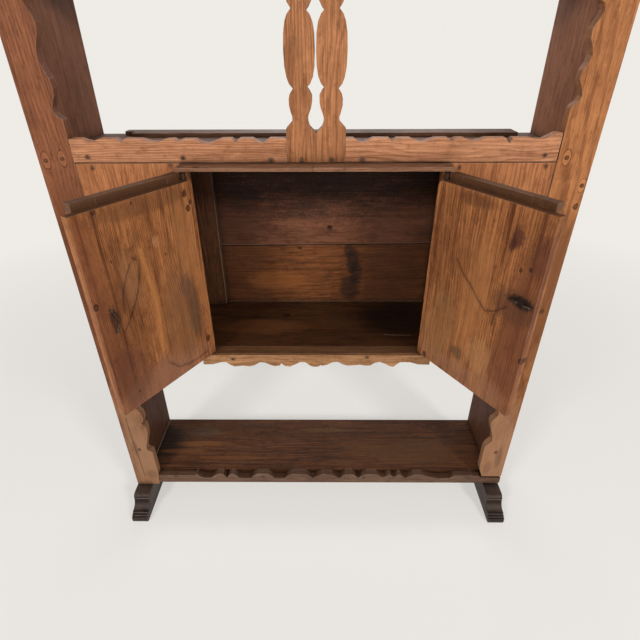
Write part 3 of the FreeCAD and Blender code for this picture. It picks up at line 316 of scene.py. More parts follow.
        share = calc("MULTIPLY", ramp(eye, 0.4, 0.8), ramp(eye, 0.9, 1.3, 0.6, 0.0))
        colour = blend(share, colour, black)
    colour = blend(ramp(patches, 0.5, 0.74, 0.0, dirt), colour, brown)

    # Painted shade in the corners, dark end grain, dust on top and worn edges
    # Ambient occlusion darkens the wood where boards meet and in hollows: painted shade.
    hidden = nodes.new("ShaderNodeAmbientOcclusion")
    hidden.samples = RAYS
    hidden.inputs["Distance"].default_value = CORNER_WIDTH
    corner_shade = ramp(hidden.outputs["AO"], 0.35, 0.92, 0.8, 0.0)
    corner_shade = calc("MULTIPLY", corner_shade, ramp(patches, 0.3, 0.6, 0.7, 1.0))
    colour = blend(corner_shade, colour, black)
    cut = None
    shaken = joined(calc("ADD", plain[0], swing(ragged, 0.004)),
                    calc("ADD", plain[1], swing(patches, 0.004)), 0.0)
    for points, width, tint, strength in lines:
        stroke = None
        for start, end in zip(points, points[1:]):
            run = (end[0] - start[0], end[1] - start[1], 0.0)
            reach = vector("SUBTRACT", shaken, (*start, 0.0))
            share = calc("DIVIDE", vector("DOT_PRODUCT", reach, run), run[0] ** 2 + run[1] ** 2)
            share = calc("MINIMUM", calc("MAXIMUM", share, 0.0), 1.0)
            distance = vector("LENGTH", vector("SUBTRACT", reach, vector("SCALE", run, share)))
            stroke = distance if stroke is None else calc("MINIMUM", stroke, distance)
        stroke = calc("ADD", stroke, swing(crumbly, width * 3.0))
        colour = blend(ramp(stroke, 0.0, width * 5.0, strength * 0.4, 0.0), colour, tint)
        stroke = calc("MULTIPLY", ramp(stroke, width * 0.4, width * 1.5, strength, 0.0),
                      ramp(calc("ADD", crumbly, mottle), 0.80, 1.04, 0.35, 1.0))
        colour = blend(stroke, colour, tint)
        if sum(tint) < 0.2:
            cut = stroke if cut is None else calc("MAXIMUM", cut, stroke)
    bevel = nodes.new("ShaderNodeBevel")
    bevel.samples = RAYS
    bevel.inputs["Radius"].default_value = WORN_WIDTH
    geometry = nodes.new("ShaderNodeNewGeometry")
    looks = nodes.new("ShaderNodeSeparateXYZ")
    links.new(geometry.outputs["True Normal"], looks.inputs[0])
    if not door or grain == "Z":
        end_face = ramp(calc("ABSOLUTE", looks.outputs["XYZ".index(grain)]), 0.75, 0.95, 0.0, 0.75)
        colour = blend(end_face, colour, brown)
    if top:
        dust = ramp(streaks, 0.25, 0.6, top[1], top[1] * 0.7)
        dust = calc("MULTIPLY", ramp(looks.outputs[2], 0.25, 0.6), dust)
        colour = blend(dust, colour, top[0])
    facing = vector("DOT_PRODUCT", bevel.outputs[0], geometry.outputs["True Normal"])
    worn = ramp(cloud(16, 16, 4, 0.65, 9.0), 0.38, 0.62, 0.15, 1.0)
    worn = calc("MULTIPLY", ramp(facing, 0.99, 0.86), worn)
    colour = blend(calc("MULTIPLY", worn, rim), colour, edge)
    links.new(colour, shader.inputs["Base Color"])
    rough = ramp(calc("ADD", fibre, patches), 0.6, 1.4, gloss - 0.12, gloss + 0.16)
    links.new(rough, shader.inputs["Roughness"])
    shader.inputs["Specular IOR Level"].default_value = shine
    relief = calc("MULTIPLY", late, 0.45)
    for layer, height in ((fibre, 0.7), (fine, 0.25), (ragged, 0.5)):
        relief = calc("ADD", relief, calc("MULTIPLY", layer, height))
    if eye is not None:
        relief = calc("SUBTRACT", relief, ramp(eye, 0.7, 1.2, 0.8, 0.0))
    if cut is not None:
        relief = calc("SUBTRACT", relief, calc("MULTIPLY", cut, 2.0))
    bump = nodes.new("ShaderNodeBump")
    bump.inputs["Strength"].default_value = 0.75
    bump.inputs["Distance"].default_value = GRAIN_DEPTH
    links.new(relief, bump.inputs["Height"])
    links.new(bevel.outputs[0], bump.inputs["Normal"])
    links.new(bump.outputs[0], shader.inputs["Normal"])
    return material


def wear(node, material):
    """Gives a board of the frame its wood."""
    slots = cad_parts[node].data.materials
    for index in range(len(slots)):
        slots[index] = material


def board(node, *layout, **looks):
    """Gives a board of the frame its own pine, named after it."""
    wear(node, pine(node + "_wood", *layout, **looks))


SMOKED, SMOKED_DEEP = (0.235, 0.092, 0.045), (0.080, 0.028, 0.014)
# Painted shade: the side planks are darkened below the cupboard floor, under the cupboard.
LOW_PAINTED_SHADE = (0.30, 0.13, 0.34, 0.26, (0.035, 0.014, 0.008), 0.75)
# Both planks share one smoked colour. The right one is painted brighter than the left, as painted light.
for side, shift, painted_brightness in (("left", (0.3, 0.11, 0.2), 1.05), ("right", (1.7, 0.09, 0.5), 1.6)):
    light, dark = ([c * painted_brightness for c in colour] for colour in (SMOKED, SMOKED_DEEP))
    board(side + "_side_plank", "Z", "X", light, dark, shift, contrast=0.4, dirt=0.5, rim=0.35,
          marks=(LOW_PAINTED_SHADE,), gloss=0.58)


# Front stiles
# Broad boards nailed on the side planks' front edges, their inner edges sawn in a row of
# ogees. The left one is redder than the right, and is painted darker than it as painted shade.
def stained(*nails):
    """Soft dark halos round nails, each given along the grain and across it."""
    return tuple((far, wide, 0.008, 0.006, (0.055, 0.020, 0.010), 0.6) for far, wide in nails)


SCALLOP_EDGE = (0.62, 0.36, 0.22)
wear("left_front_stile", pine("left_stile_wood", "Z", "Y", (0.25, 0.092, 0.041), (0.080, 0.023, 0.010),
                              (0.2, 0.575, 0.3), rings=300, contrast=0.5, tone=0.7, edge=SCALLOP_EDGE,
                              rim=0.4, knots=((0.83, -0.575, 0.005),),
                              eyes=((1.114, -0.584, 0.020, 0.010), (1.1175, -0.547, 0.018, 0.009)),
                              marks=((0.16, -0.56, 0.34, 0.07, (0.30, 0.160, 0.085), 0.75),
                                     (0.22, -0.592, 0.20, 0.009, (0.19, 0.095, 0.052), 0.6),
                                     (0.86, -0.56, 0.26, 0.05, (0.13, 0.042, 0.018), 0.8),
                                     (0.118, -0.545, 0.022, 0.020, (0.12, 0.060, 0.035), 0.4),
                                     (0.235, -0.575, 0.04, 0.010, (0.12, 0.055, 0.03), 0.5),
                                     *stained((0.231, -0.5624), (0.614, -0.577), (1.536, -0.578))),
                              lines=((((0.365, -0.5775), (0.28, -0.5755), (0.19, -0.572),
                                       (0.113, -0.569)), 0.0007, (0.05, 0.020, 0.011), 0.8),)))
wear("right_front_stile", pine("right_stile_wood", "Z", "Y", (0.42, 0.170, 0.062), (0.13, 0.040, 0.012),
                               (1.1, -0.54, 0.9), rings=210, contrast=0.6, tone=0.6, edge=SCALLOP_EDGE,
                               rim=0.4, knots=((1.01, 0.590, 0.005),),
                               eyes=((1.1175, 0.541, 0.018, 0.009), (1.058, 0.591, 0.016, 0.008)),
                               marks=((0.20, 0.56, 0.32, 0.07, (0.26, 0.138, 0.076), 0.75),
                                      (0.78, 0.56, 0.25, 0.07, (0.20, 0.074, 0.028), 0.8),
                                      (0.15, 0.547, 0.035, 0.012, (0.12, 0.060, 0.035), 0.4),
                                      (0.20, 0.575, 0.05, 0.008, (0.11, 0.052, 0.030), 0.5),
                                      *stained((0.223, 0.5624), (0.736, 0.5816), (1.554, 0.578)))))


# Shoe feet
# Blocks moulded at the toe: three half-round reeds, a cove and a rounded nose. Floor wax
# and handling have turned them nearly black.
def band(start, columns):
    """Faces between the ring of points that begins at start and the ring after it."""
    return [(start + c, start + (c + 1) % columns, start + columns + (c + 1) % columns,
             start + columns + c) for c in range(columns)]


def tube(rows, columns):
    """Faces through rings of points, one ring to a row, with both ends closed."""
    faces = [face for r in range(rows - 1) for face in band(r * columns, columns)]
    return faces + [tuple(range(columns))[::-1], tuple((rows - 1) * columns + c for c in range(columns))]


ROUNDING = 0.0035
STILE_FRONT = -0.0345


def foot(side):
    """Smooth foot in place of the framed one. Seen from the side, each reed is a half
    ellipse, the cove a hollow quarter of an ellipse and the nose a round quarter. The
    outline is carried across the foot, narrowed at both sides by a quarter circle, and the
    part before the stile is set back there as well."""
    low, high = (np.array(corner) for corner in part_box(side + "_foot"))
    toe, tall = -low[1], high[2]
    bow = np.linspace(-np.pi / 2, np.pi / 2, 13)
    turn = np.linspace(0, np.pi / 2, 11)
    outline = [np.array([(0.03, 0.0)])]
    for back, bottom, top, swell in ((0.040, 0.012, 0.255, 0.04), (0.112, 0.275, 0.333, 0.04),
                                     (0.190, 0.345, 0.400, 0.045)):
        outline.append(np.c_[back - swell * np.cos(bow) ** 0.8,
                             (bottom + top) / 2 + (top - bottom) / 2 * np.sin(bow)])
    outline.append(np.c_[0.215 + 0.265 * np.sin(turn), 0.82 - 0.41 * np.cos(turn)])
    outline.append(np.c_[0.63 - 0.142 * np.cos(turn), 0.83 + 0.17 * np.sin(turn)])
    outline = np.vstack(outline) * (toe, tall) - (toe, 0)
    outline = np.vstack([outline, [(y, tall) for y in np.linspace(0, high[1], 6)], [(high[1], 0.0)]])
    inset = ROUNDING * (1 - np.cos(turn[::2]))
    across = np.r_[low[0] + inset, high[0] - inset[::-1]]
    set_back = ROUNDING * (1 - np.sin(turn[::2]))
    set_back = np.r_[set_back, set_back[::-1]]
    toe_part = outline[:, 0] < STILE_FRONT
    points = np.empty((len(across), len(outline), 3))
    points[..., 0] = across[:, None]
    points[..., 1] = outline[None, :, 0] + set_back[:, None] * toe_part
    points[..., 2] = outline[None, :, 1]
    faces = [face[::-1] for face in tube(*points.shape[:2])]
    return solid(side + "_foot_smooth", points.reshape(-1, 3).tolist(), faces, crease=38)


# Painted shade in the grooves between the reeds, and painted highlights on their crests and on the nose.
REED_SHADE_AND_HIGHLIGHTS = (*((((-0.096, z), (y, z)), 0.0007, (0.006, 0.004, 0.003), 0.85) for y, z in
           ((-0.084, 0.0186), (-0.077, 0.0238), (-0.070, 0.0286))),
         *((((y - 0.002, z), (y + 0.0012, z)), 0.0007, (0.25, 0.19, 0.15), 0.55) for y, z in
           ((-0.0940, 0.0100), (-0.0873, 0.0213), (-0.0804, 0.0261), (-0.0485, 0.0575))))
for side, shift in (("left", (0.4, 0.3, 0.2)), ("right", (2.4, 0.8, 0.7))):
    block = foot(side)
    block.data.materials.append(pine(side + "_foot_wood", "Y", "X", (0.068, 0.043, 0.034),
                                     (0.026, 0.015, 0.011), shift, contrast=0.4, lines=REED_SHADE_AND_HIGHLIGHTS, dirt=0.3,
                                     streak=0.2, edge=(0.22, 0.155, 0.12), rim=0.6, gloss=0.42,
                                     shine=0.18))
    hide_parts(side + "_foot")
    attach(block, "carcass")

# Bottom shelf and apron
# A wide board housed in the side planks, and a narrow scalloped board nailed on its
# front edge that runs on under the right stile.
board("bottom_shelf", "X", "Z", (0.115, 0.041, 0.015), (0.020, 0.007, 0.004), (0.7, -0.13, 0.4),
      rings=300, contrast=0.4, tone=0.9, streak=0.5, dirt=0.6, gloss=0.42, shine=0.07,
      edge=(0.24, 0.13, 0.075), rim=0.25, marks=((-0.54, 0.15, 0.06, 0.09, (0.010, 0.005, 0.003), 0.85),
                                                 (-0.41, 0.19, 0.06, 0.03, (0.085, 0.055, 0.036), 0.45),
                                                 (-0.40, 0.135, 0.11, 0.012, (0.17, 0.062, 0.018), 0.6),
                                                 (-0.46, 0.10, 0.10, 0.010, (0.15, 0.054, 0.016), 0.6),
                                                 (-0.30, 0.07, 0.14, 0.008, (0.14, 0.050, 0.016), 0.5),
                                                 (0.02, 0.20, 0.09, 0.012, (0.12, 0.060, 0.022), 0.5),
                                                 (0.30, 0.10, 0.20, 0.06, (0.085, 0.036, 0.013), 0.6)),
      lines=((((-0.556, 0.05), (-0.556, 0.25)), 0.0007, (0.34, 0.23, 0.16), 0.6),))
board("bottom_apron", "X", "Y", (0.165, 0.092, 0.058), (0.065, 0.031, 0.019), (0.1, -0.09, 0.6), dirt=0.4,
      contrast=0.4, edge=(0.48, 0.33, 0.22), rim=0.55, top=((0.050, 0.020, 0.009), 0.90),
      marks=stained((-0.467, 0.1075), (-0.1795, 0.1065), (0.1515, 0.1045), (0.488, 0.1075)))

# Cupboard floor, sill and apron
# The floor shows in the doorway. The sill strip before it carries the doors' lower pins,
# and a thin scalloped board is nailed along the sill's front.
board("cupboard_floor", "X", "Z", (0.070, 0.026, 0.009), (0.017, 0.007, 0.004), (2.2, -0.12, 1.1),
      rings=150, contrast=0.6, tone=0.5, dirt=0.5, gloss=0.45, shine=0.2, edge=(0.26, 0.13, 0.06),
      rim=0.3, knots=((-0.091, 0.166, 0.009),),
      # The first mark is painted shadow, where the right door's shadow falls on the floor.
      marks=((0.25, 0.15, 0.13, 0.10, (0.008, 0.004, 0.003), 0.8),
             (-0.16, 0.10, 0.12, 0.05, (0.13, 0.047, 0.016), 0.5)),
      lines=((((0.19, 0.058), (0.235, 0.054), (0.262, 0.056)), 0.0010, (0.26, 0.16, 0.10), 0.5),
             (((-0.28, 0.2530), (0.33, 0.2530)), 0.0007, (0.40, 0.29, 0.20), 0.75)))
SILL = (0.37, 0.190, 0.085), (0.13, 0.050, 0.020)
board("cupboard_sill", "X", "Y", *SILL, (0.6, -0.61, 0.9), edge=SCALLOP_EDGE,
      top=((0.050, 0.020, 0.009), 0.92))
board("cupboard_apron", "X", "Y", *SILL, (3.3, -0.60, 1.4), edge=SCALLOP_EDGE, rim=0.55, contrast=0.5,
      top=((0.105, 0.042, 0.018), 0.6), marks=stained((-0.220, 0.615), (0.133, 0.621)))

# Fixed panels
# Upright boards that close the cupboard's front on both sides of the doors, with the
# heads of the nails that hold them to the upper shelf.
SEAM = (0.03, 0.012, 0.007)
SIDES = 12
HEAD_WIDE, HEAD_HIGH = 0.0029, 0.0026
for side, shift, nails, heads in (
        ("left", (0.9, 0.36, 0.2), (-0.474, -0.341), ((-0.487, 1.098), (-0.315, 1.104))),
        ("right", (2.9, -0.40, 0.7), (0.341, 0.474), ((0.3145, 1.098), (0.501, 1.100)))):
    end = -0.5221 if side == "left" else 0.5221
    board(side + "_fixed_panel", "Z", "Y", (0.43, 0.170, 0.068), (0.15, 0.047, 0.016), shift, tone=0.6,
          edge=SCALLOP_EDGE, marks=stained(*((0.6165, x) for x in nails), *((z, x) for x, z in heads)),
          lines=((((0.59, end), (1.1075, end)), 0.0006, SEAM, 0.85),))
    ring = np.linspace(0, 2 * np.pi, SIDES, endpoint=False)
    spots, faces = [], []
    for x, z in heads:
        first = len(spots)
        for share, out in ((1.0, 0.0004), (0.85, -0.0007), (0.45, -0.0012)):
            spots += [(x + HEAD_WIDE * share * math.cos(a), out, z + HEAD_HIGH * share * math.sin(a))
                      for a in ring]
        spots += [(x, -0.0013, z)]
        faces += band(first, SIDES) + band(first + SIDES, SIDES)
        last, tip = first + 2 * SIDES, first + 3 * SIDES
        faces += [(last + k, last + (k + 1) % SIDES, tip) for k in range(SIDES)]
        faces.append(tuple(range(first, first + SIDES))[::-1])
    panel_nails = solid(side + "_panel_nails", spots, faces)
    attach(panel_nails, "carcass")

# Header ledge
# A thin board under the cupboard's roof, bored for the doors' upper pins.
board("header_ledge", "X", "Z", (0.27, 0.133, 0.076), (0.10, 0.040, 0.020), (1.9, 0.02, 0.3),
      edge=SCALLOP_EDGE, knots=((-0.250, -0.036, 0.005),),
      lines=((((-0.004, -0.043), (-0.002, -0.01)), 0.0006, (0.05, 0.020, 0.012), 0.5),))

# Cupboard back
# Two rough planks nailed on behind, meeting in a slanting joint, and an upright batten in
# each corner. The planks are dark wood, with painted shadow under the cupboard's roof and at both sides.
DUST = (0.20, 0.125, 0.085)
BACK_FACE = 0.2554
board("back_plank_upper", "X", "Y", (0.19, 0.072, 0.036), (0.035, 0.012, 0.006), (2.6, -0.97, 1.9),
      rings=330, contrast=0.35, tone=0.6, dirt=0.45, gloss=0.6, edge=DUST, rim=0.3, skin=BACK_FACE,
      # The first two marks are painted shadow from the doors, the third painted shadow from the roof.
      knots=((0.038, 0.871, 0.005),), marks=((-0.28, 0.90, 0.14, 0.20, (0.050, 0.018, 0.010), 0.6),
                                             (0.26, 0.90, 0.13, 0.20, (0.050, 0.018, 0.010), 0.5),
                                             (0.0, 1.12, 0.90, 0.19, (0.014, 0.007, 0.005), 0.88)),
      lines=((((-0.598, 0.8136), (0.598, 0.8256)), 0.0004, (0.34, 0.24, 0.16), 0.25),))
board("back_plank_lower", "X", "Y", (0.19, 0.064, 0.020), (0.042, 0.014, 0.005), (0.4, -0.71, 0.4),
      rings=330, contrast=0.35, tone=0.6, dirt=0.4, gloss=0.6, edge=DUST, rim=0.3, skin=BACK_FACE,
      # The first two marks are painted shadow from the doors.
      knots=((-0.051, 0.806, 0.004),), marks=((-0.28, 0.74, 0.14, 0.20, (0.060, 0.021, 0.009), 0.6),
                                              (0.24, 0.74, 0.11, 0.20, (0.045, 0.016, 0.008), 0.6),
                                              (0.094, 0.800, 0.013, 0.035, (0.016, 0.009, 0.007), 0.7),
                                              (0.108, 0.765, 0.020, 0.040, (0.016, 0.009, 0.007), 0.75),
                                              (0.118, 0.725, 0.020, 0.040, (0.016, 0.009, 0.007), 0.7),
                                              (0.102, 0.675, 0.030, 0.045, (0.016, 0.009, 0.007), 0.7),
                                              (-0.13, 0.70, 0.09, 0.03, (0.28, 0.095, 0.026), 0.5)),
      lines=((((-0.598, 0.8108), (0.598, 0.8228)), 0.0011, (0.010, 0.005, 0.004), 0.95),))
for node, shift in (("left_back_batten", (0.5, 0.32, 0.1)), ("right_back_batten", (1.5, -0.37, 0.8))):
    inner = -0.2850 if node[0] == "l" else 0.3360
    board(node, "Z", "Y", (0.11, 0.042, 0.018), (0.030, 0.011, 0.006), shift, rim=0.5,
          edge=(0.30, 0.18, 0.11),
          lines=((((0.63, inner), (1.10, inner)), 0.0004, (0.26, 0.18, 0.12), 0.6),))

# Upper and middle shelves
# The upper shelf is the cupboard's roof, with a loose strip along its back that keeps
# plates from slipping.
for node, shift in (("upper_shelf", (1.3, -0.14, 0.4)), ("middle_shelf", (4.1, -0.12, 1.0))):
    board(node, "X", "Z", (0.16, 0.068, 0.036), (0.055, 0.021, 0.012), shift, rings=150, tone=0.6,
          dirt=0.5, gloss=0.5)
board("plate_strip", "X", "Z", (0.16, 0.070, 0.036), (0.05, 0.019, 0.010), (0.2, -0.22, 0.1),
      edge=(0.34, 0.21, 0.13), rim=0.5)

# Scalloped rails, splats and top rail
# Boards sawn by hand along one edge, nailed between the stiles in front of the shelves,
# and two baluster boards side by side at the middle. They are the palest wood.
PALEST = (0.49, 0.222, 0.112), (0.18, 0.064, 0.026)
for node, shift, nails in (
        ("left_lower_rail", (0.3, -1.13, 0.2), ((-0.4916, 1.121), (-0.2848, 1.119), (-0.0946, 1.1135))),
        ("right_lower_rail", (1.4, -1.14, 0.5), ((0.102, 1.114), (0.493, 1.123))),
        ("left_upper_rail", (2.3, -1.48, 0.8), ()), ("right_upper_rail", (3.4, -1.49, 1.2), ()),
        ("top_front_rail", (4.3, -1.75, 1.8), ())):
    (start, _, bottom), (end, _, _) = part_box(node)
    seam = (start, bottom + 0.0004), (end, bottom + 0.0004)
    board(node, "X", "Y", *PALEST, shift, edge=SCALLOP_EDGE, rim=0.55, tone=0.5, marks=stained(*nails),
          lines=((seam, 0.0006, SEAM, 0.8),))
for node, shift, nail in (("left_splat", (0.8, 0.028, 0.3), (1.1135, -0.0285)),
                          ("right_splat", (2.1, -0.034, 0.9), (1.114, 0.036))):
    board(node, "Z", "Y", (0.41, 0.172, 0.072), (0.14, 0.046, 0.016), shift, edge=SCALLOP_EDGE, rim=0.5,
          marks=stained(nail))

# Top board
# One board over the whole cabinet, with a moulded edge that stands out at the front and
# both ends.
board("top_board", "X", "Z", (0.33, 0.15, 0.07), (0.12, 0.045, 0.019), (0.9, -0.12, 0.3))

# Nails and pegs
# Hand-made heads, dark and a little rusty, and wooden plugs cut off level with the stiles.
iron = bpy.data.materials.new("rusty_iron")
iron.use_nodes = True
nodes, links = iron.node_tree.nodes, iron.node_tree.links
shader = nodes["Principled BSDF"]
shader.inputs["Metallic"].default_value = 0.15
shader.inputs["Specular IOR Level"].default_value = 0.3
where, rust, tint, rough, dents = (nodes.new("ShaderNode" + kind) for kind in
                                   ("TexCoord", "TexNoise", "ValToRGB", "MapRange", "Bump"))
rust.inputs["Scale"].default_value = 240
rust.inputs["Detail"].default_value = 5
tint.color_ramp.elements[0].position, tint.color_ramp.elements[0].color = 0.42, (0.022, 0.015, 0.012, 1)
tint.color_ramp.elements[1].position, tint.color_ramp.elements[1].color = 0.66, (0.100, 0.052, 0.030, 1)
span(rough, 0.35, 0.7, 0.36, 0.6)
dents.inputs["Strength"].default_value = 0.35
dents.inputs["Distance"].default_value = 0.0006
links.new(where.outputs["Object"], rust.inputs["Vector"])
links.new(rust.outputs["Fac"], tint.inputs["Fac"])
links.new(rust.outputs["Fac"], rough.inputs["Value"])
links.new(rust.outputs["Fac"], dents.inputs["Height"])
links.new(tint.outputs["Color"], shader.inputs["Base Color"])
links.new(rough.outputs[0], shader.inputs["Roughness"])
links.new(dents.outputs["Normal"], shader.inputs["Normal"])
wear("carcass_nails", iron)
for side in ("left", "right"):
    bpy.data.objects[side + "_panel_nails"].data.materials.append(iron)
board("stile_pegs", "Y", "Z", (0.46, 0.20, 0.08), (0.12, 0.04, 0.015), (0.1, 0.2, 0.3), rings=600,
      edge=(0.05, 0.02, 0.01), rim=0.9)

# Doors
# Each is a plain inner plank behind a framed and fielded layer. An open door shows its
# inner face: mid brown, redder towards the free edge, with knots, scratches and smoke.
OPEN = math.radians(121.4)
PIN = (0.285, -0.024)
INNER_FACE = 0.018
INK = (0.045, 0.016, 0.009)
LEFT_MARKS = ((0.95, 0.04, 0.13, 0.035, (0.36, 0.150, 0.055), 0.5),
              (0.86, 0.27, 0.24, 0.04, (0.15, 0.046, 0.022), 0.6),
              (0.655, 0.15, 0.045, 0.15, (0.29, 0.130, 0.075), 0.6),
              (0.92, 0.192, 0.075, 0.03, (0.33, 0.150, 0.065), 0.5),
              (0.80, 0.085, 0.13, 0.045, (0.17, 0.075, 0.032), 0.6),
              (0.72, 0.24, 0.09, 0.05, (0.10, 0.033, 0.019), 0.6),
              (0.785, 0.042, 0.09, 0.018, (0.070, 0.040, 0.026), 0.6),
              (0.85, 0.060, 0.03, 0.016, (0.10, 0.058, 0.038), 0.4),
              (0.979, 0.116, 0.012, 0.009, (0.42, 0.20, 0.09), 0.5),
              (1.060, 0.12, 0.02, 0.12, (0.11, 0.045, 0.02), 0.5),
              (0.90, 0.222, 0.05, 0.02, (0.12, 0.045, 0.020), 0.5),
              (0.85, 0.297, 0.30, 0.0045, (0.34, 0.22, 0.15), 0.5),
              (0.858, 0.247, 0.034, 0.014, (0.035, 0.015, 0.010), 0.8))
LEFT_LINES = (
    (((0.965, 0.1755), (0.956, 0.163), (0.9315, 0.168), (0.907, 0.1755), (0.88, 0.1875),
      (0.855, 0.204), (0.831, 0.223), (0.821, 0.233)), 0.0020, INK, 0.6),
    (((0.956, 0.185), (0.935, 0.198), (0.9135, 0.211), (0.889, 0.219), (0.8635, 0.222)),
     0.0018, INK, 0.5),
    (((0.687, 0.141), (0.659, 0.116), (0.648, 0.085), (0.646, 0.050), (0.647, 0.021)),
     0.0018, INK, 0.45),
    (((0.975, 0.156), (0.855, 0.143), (0.727, 0.1505)), 0.005, (0.50, 0.200, 0.062), 0.6))
RIGHT_MARKS = ((0.85, 0.265, 0.26, 0.05, (0.14, 0.044, 0.021), 0.65),
               (0.86, 0.14, 0.15, 0.04, (0.40, 0.165, 0.058), 0.5),
               (0.652, 0.15, 0.04, 0.15, (0.30, 0.140, 0.075), 0.5),
               (0.75, 0.055, 0.11, 0.05, (0.23, 0.115, 0.046), 0.5),
               (0.73, 0.175, 0.05, 0.03, (0.44, 0.22, 0.09), 0.4),
               (1.062, 0.10, 0.014, 0.05, (0.075, 0.028, 0.014), 0.55),
               (1.020, 0.214, 0.024, 0.016, (0.070, 0.020, 0.014), 0.8),
               (1.005, 0.206, 0.018, 0.009, (0.060, 0.018, 0.013), 0.8),
               (1.000, 0.27, 0.05, 0.025, (0.105, 0.034, 0.020), 0.6),
               (0.704, 0.120, 0.018, 0.022, (0.075, 0.055, 0.028), 0.6),
               (0.885, 0.24, 0.04, 0.05, (0.085, 0.035, 0.020), 0.6),
               (0.899, 0.25, 0.014, 0.032, (0.012, 0.007, 0.006), 0.95),
               (0.85, 0.297, 0.30, 0.0045, (0.36, 0.22, 0.14), 0.5))
RIGHT_LINES = (
    (((0.926, 0.078), (0.903, 0.097), (0.885, 0.124), (0.859, 0.153), (0.844, 0.173),
      (0.854, 0.197), (0.876, 0.222)), 0.0021, INK, 0.55),
    (((0.8475, 0.199), (0.822, 0.197)), 0.0016, INK, 0.6),
    (((1.02, 0.2965), (0.93, 0.2985), (0.82, 0.2975), (0.70, 0.2985)), 0.0010,
     (0.48, 0.28, 0.16), 0.6))
LEFT_KNOTS = ((1.023, 0.014, 0.005), (1.034, 0.006, 0.004), (1.055, 0.019, 0.005),
              (0.683, 0.014, 0.006), (0.900, 0.278, 0.005), (1.075, 0.234, 0.005),
              (1.070, 0.153, 0.002), (0.975, 0.224, 0.002), (0.944, 0.095, 0.002),
              (0.665, 0.234, 0.002))
RIGHT_KNOTS = ((0.962, 0.235, 0.003), (0.970, 0.255, 0.003), (0.9055, 0.297, 0.006),
               (1.016, 0.293, 0.005), (0.803, 0.297, 0.006), (0.777, 0.282, 0.004),
               (0.637, 0.020, 0.006))
for side, shift, knots, marks, lines in (
        ("left", (0.3, 0.15, 0.4), LEFT_KNOTS, LEFT_MARKS, LEFT_LINES),
        ("right", (1.9, 0.13, 1.1), RIGHT_KNOTS, RIGHT_MARKS, RIGHT_LINES)):
    board(side + "_door_plank", "Z", "Y", (0.42, 0.163, 0.056), (0.110, 0.033, 0.012), shift, rings=420,
          tone=0.85, streak=0.6, contrast=0.55, dirt=0.45, knots=knots, marks=marks, lines=lines,
          skin=INNER_FACE, edge=(0.46, 0.27, 0.16), top=((0.095, 0.040, 0.020), 0.8), door=side)
    for node, grain in (("hinge_stile", "Z"), ("free_stile", "Z"), ("top_rail", "X"),
                        ("bottom_rail", "X"), ("field_panel", "Z")):
        # A band of painted shade darkens each piece at the height of the header ledge's underside.
        painted_ledge_shade = (1.0995, 0.15, 0.024, 2.0) if grain == "Z" else (0.15, 1.0995, 2.0, 0.024)
        board(side + "_" + node, grain, "Y", (0.36, 0.150, 0.060), (0.12, 0.040, 0.016),
              (shift[0] + len(node), 0.2, 0.3), edge=(0.42, 0.26, 0.17),
              top=((0.105, 0.050, 0.028), 0.85), door=side,
              marks=((*painted_ledge_shade, (0.100, 0.046, 0.023), 0.85),))
    for node in ("top_pintle", "bottom_pintle"):
        board(side + "_" + node, "Z", "Y", (0.10, 0.050, 0.028), (0.04, 0.018, 0.010), shift,
              edge=(0.22, 0.13, 0.08), door=side)


# Iron pulls
# A forged rod bent to a loop, its two legs driven through the door and clinched over on
# the inner face.
ROD = 0.0021
CLINCH, OUTER = 0.0204, -0.043
STEP, FLAT_END, NARROW_END = 0.0018, 0.014, 0.007


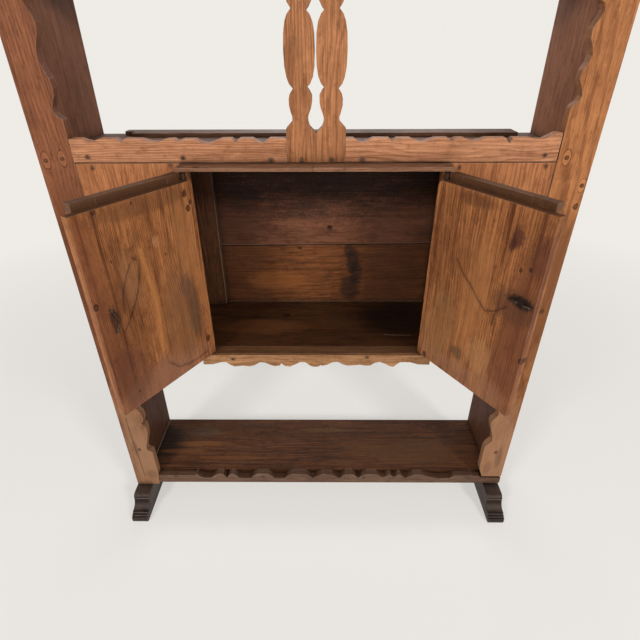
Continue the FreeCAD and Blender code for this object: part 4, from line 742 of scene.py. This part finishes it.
def pull(side, path, bends):
    """Smooth rod in place of the framed one. Its middle line runs through the path's
    points, given on the door's own frame, and each corner between them is a curve that
    starts one bend before the corner and ends one bend after it. The rod's section is a
    rounded square, hammered flat and narrow towards both ends."""
    path = [Vector(point) for point in path]
    line = [path[0]]
    for before, corner, after, bend in zip(path, path[1:], path[2:], bends):
        start = corner + (before - corner).normalized() * bend
        end = corner + (after - corner).normalized() * bend
        line += [(1 - t) ** 2 * start + 2 * t * (1 - t) * corner + t * t * end
                 for t in (k / 8 for k in range(9))]
    line.append(path[-1])
    fine = [line[0]]
    for start, end in zip(line, line[1:]):
        count = max(1, round((end - start).length / STEP))
        fine += [start.lerp(end, k / count) for k in range(1, count + 1)]
    line = np.array([list(point) for point in fine])
    walked = np.r_[0, np.cumsum(np.linalg.norm(np.diff(line, axis=0), axis=1))]
    from_end = np.minimum(walked, walked[-1] - walked)
    flat = np.clip(from_end / FLAT_END, 0, 1)
    thick = ROD * (0.42 + 0.58 * flat)
    wide = ROD * np.clip(0.35 + from_end / NARROW_END, 0, 1)
    line[:, 1] -= (ROD - thick) * (line[:, 1] > CLINCH - 0.0005)
    ahead = np.gradient(line, axis=0)
    ahead /= np.linalg.norm(ahead, axis=1)[:, None]
    legs = np.array(path[1]) - np.array(path[-2])
    normal = np.cross(legs / np.linalg.norm(legs), (0, 1, 0))
    inward = np.array((0.0, 1.0, 0.0)) - ahead * ahead[:, 1:2]
    inward = np.where(np.linalg.norm(inward, axis=1)[:, None] > 0.5, inward, np.cross(normal, ahead))
    inward /= np.linalg.norm(inward, axis=1)[:, None]
    aside = np.cross(ahead, inward)
    angle = np.linspace(0, 2 * np.pi, 16, endpoint=False)
    square = np.abs(np.cos(angle)) ** 4 + np.abs(np.sin(angle)) ** 4
    ring = np.c_[np.cos(angle), np.sin(angle)] / square[:, None] ** 0.25
    points = (line[:, None] + inward[:, None] * (ring[None, :, :1] * thick[:, None, None])
              + aside[:, None] * (ring[None, :, 1:] * wide[:, None, None])).reshape(-1, 3)
    cosine, sine = math.cos(OPEN), math.sin(OPEN)
    x = points[:, 0] * cosine + points[:, 1] * sine - PIN[0]
    y = points[:, 1] * cosine - points[:, 0] * sine + PIN[1]
    points = np.c_[x if side == "left" else -x, y, points[:, 2]]
    faces = tube(len(line), len(ring))
    if side == "right":
        faces = [face[::-1] for face in faces]
    piece = solid(side + "_pull_smooth", points.tolist(), faces, crease=50)
    piece.data.materials.append(iron)
    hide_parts(side + "_pull_loop")
    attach(piece, side + "_door")


pull("left", ((0.2380, CLINCH, 0.8496), (0.2505, CLINCH, 0.880), (0.2505, OUTER, 0.880),
              (0.2505, OUTER, 0.830), (0.2505, CLINCH, 0.830), (0.2402, CLINCH, 0.8458)),
     (0.0035, 0.021, 0.021, 0.0035))
pull("right", ((0.2235, CLINCH, 0.897), (0.2435, CLINCH, 0.897), (0.2435, OUTER, 0.897),
               (0.2575, OUTER, 0.897), (0.2575, CLINCH, 0.897), (0.2775, CLINCH, 0.897)),
     (0.0035, 0.0059, 0.0059, 0.0035))
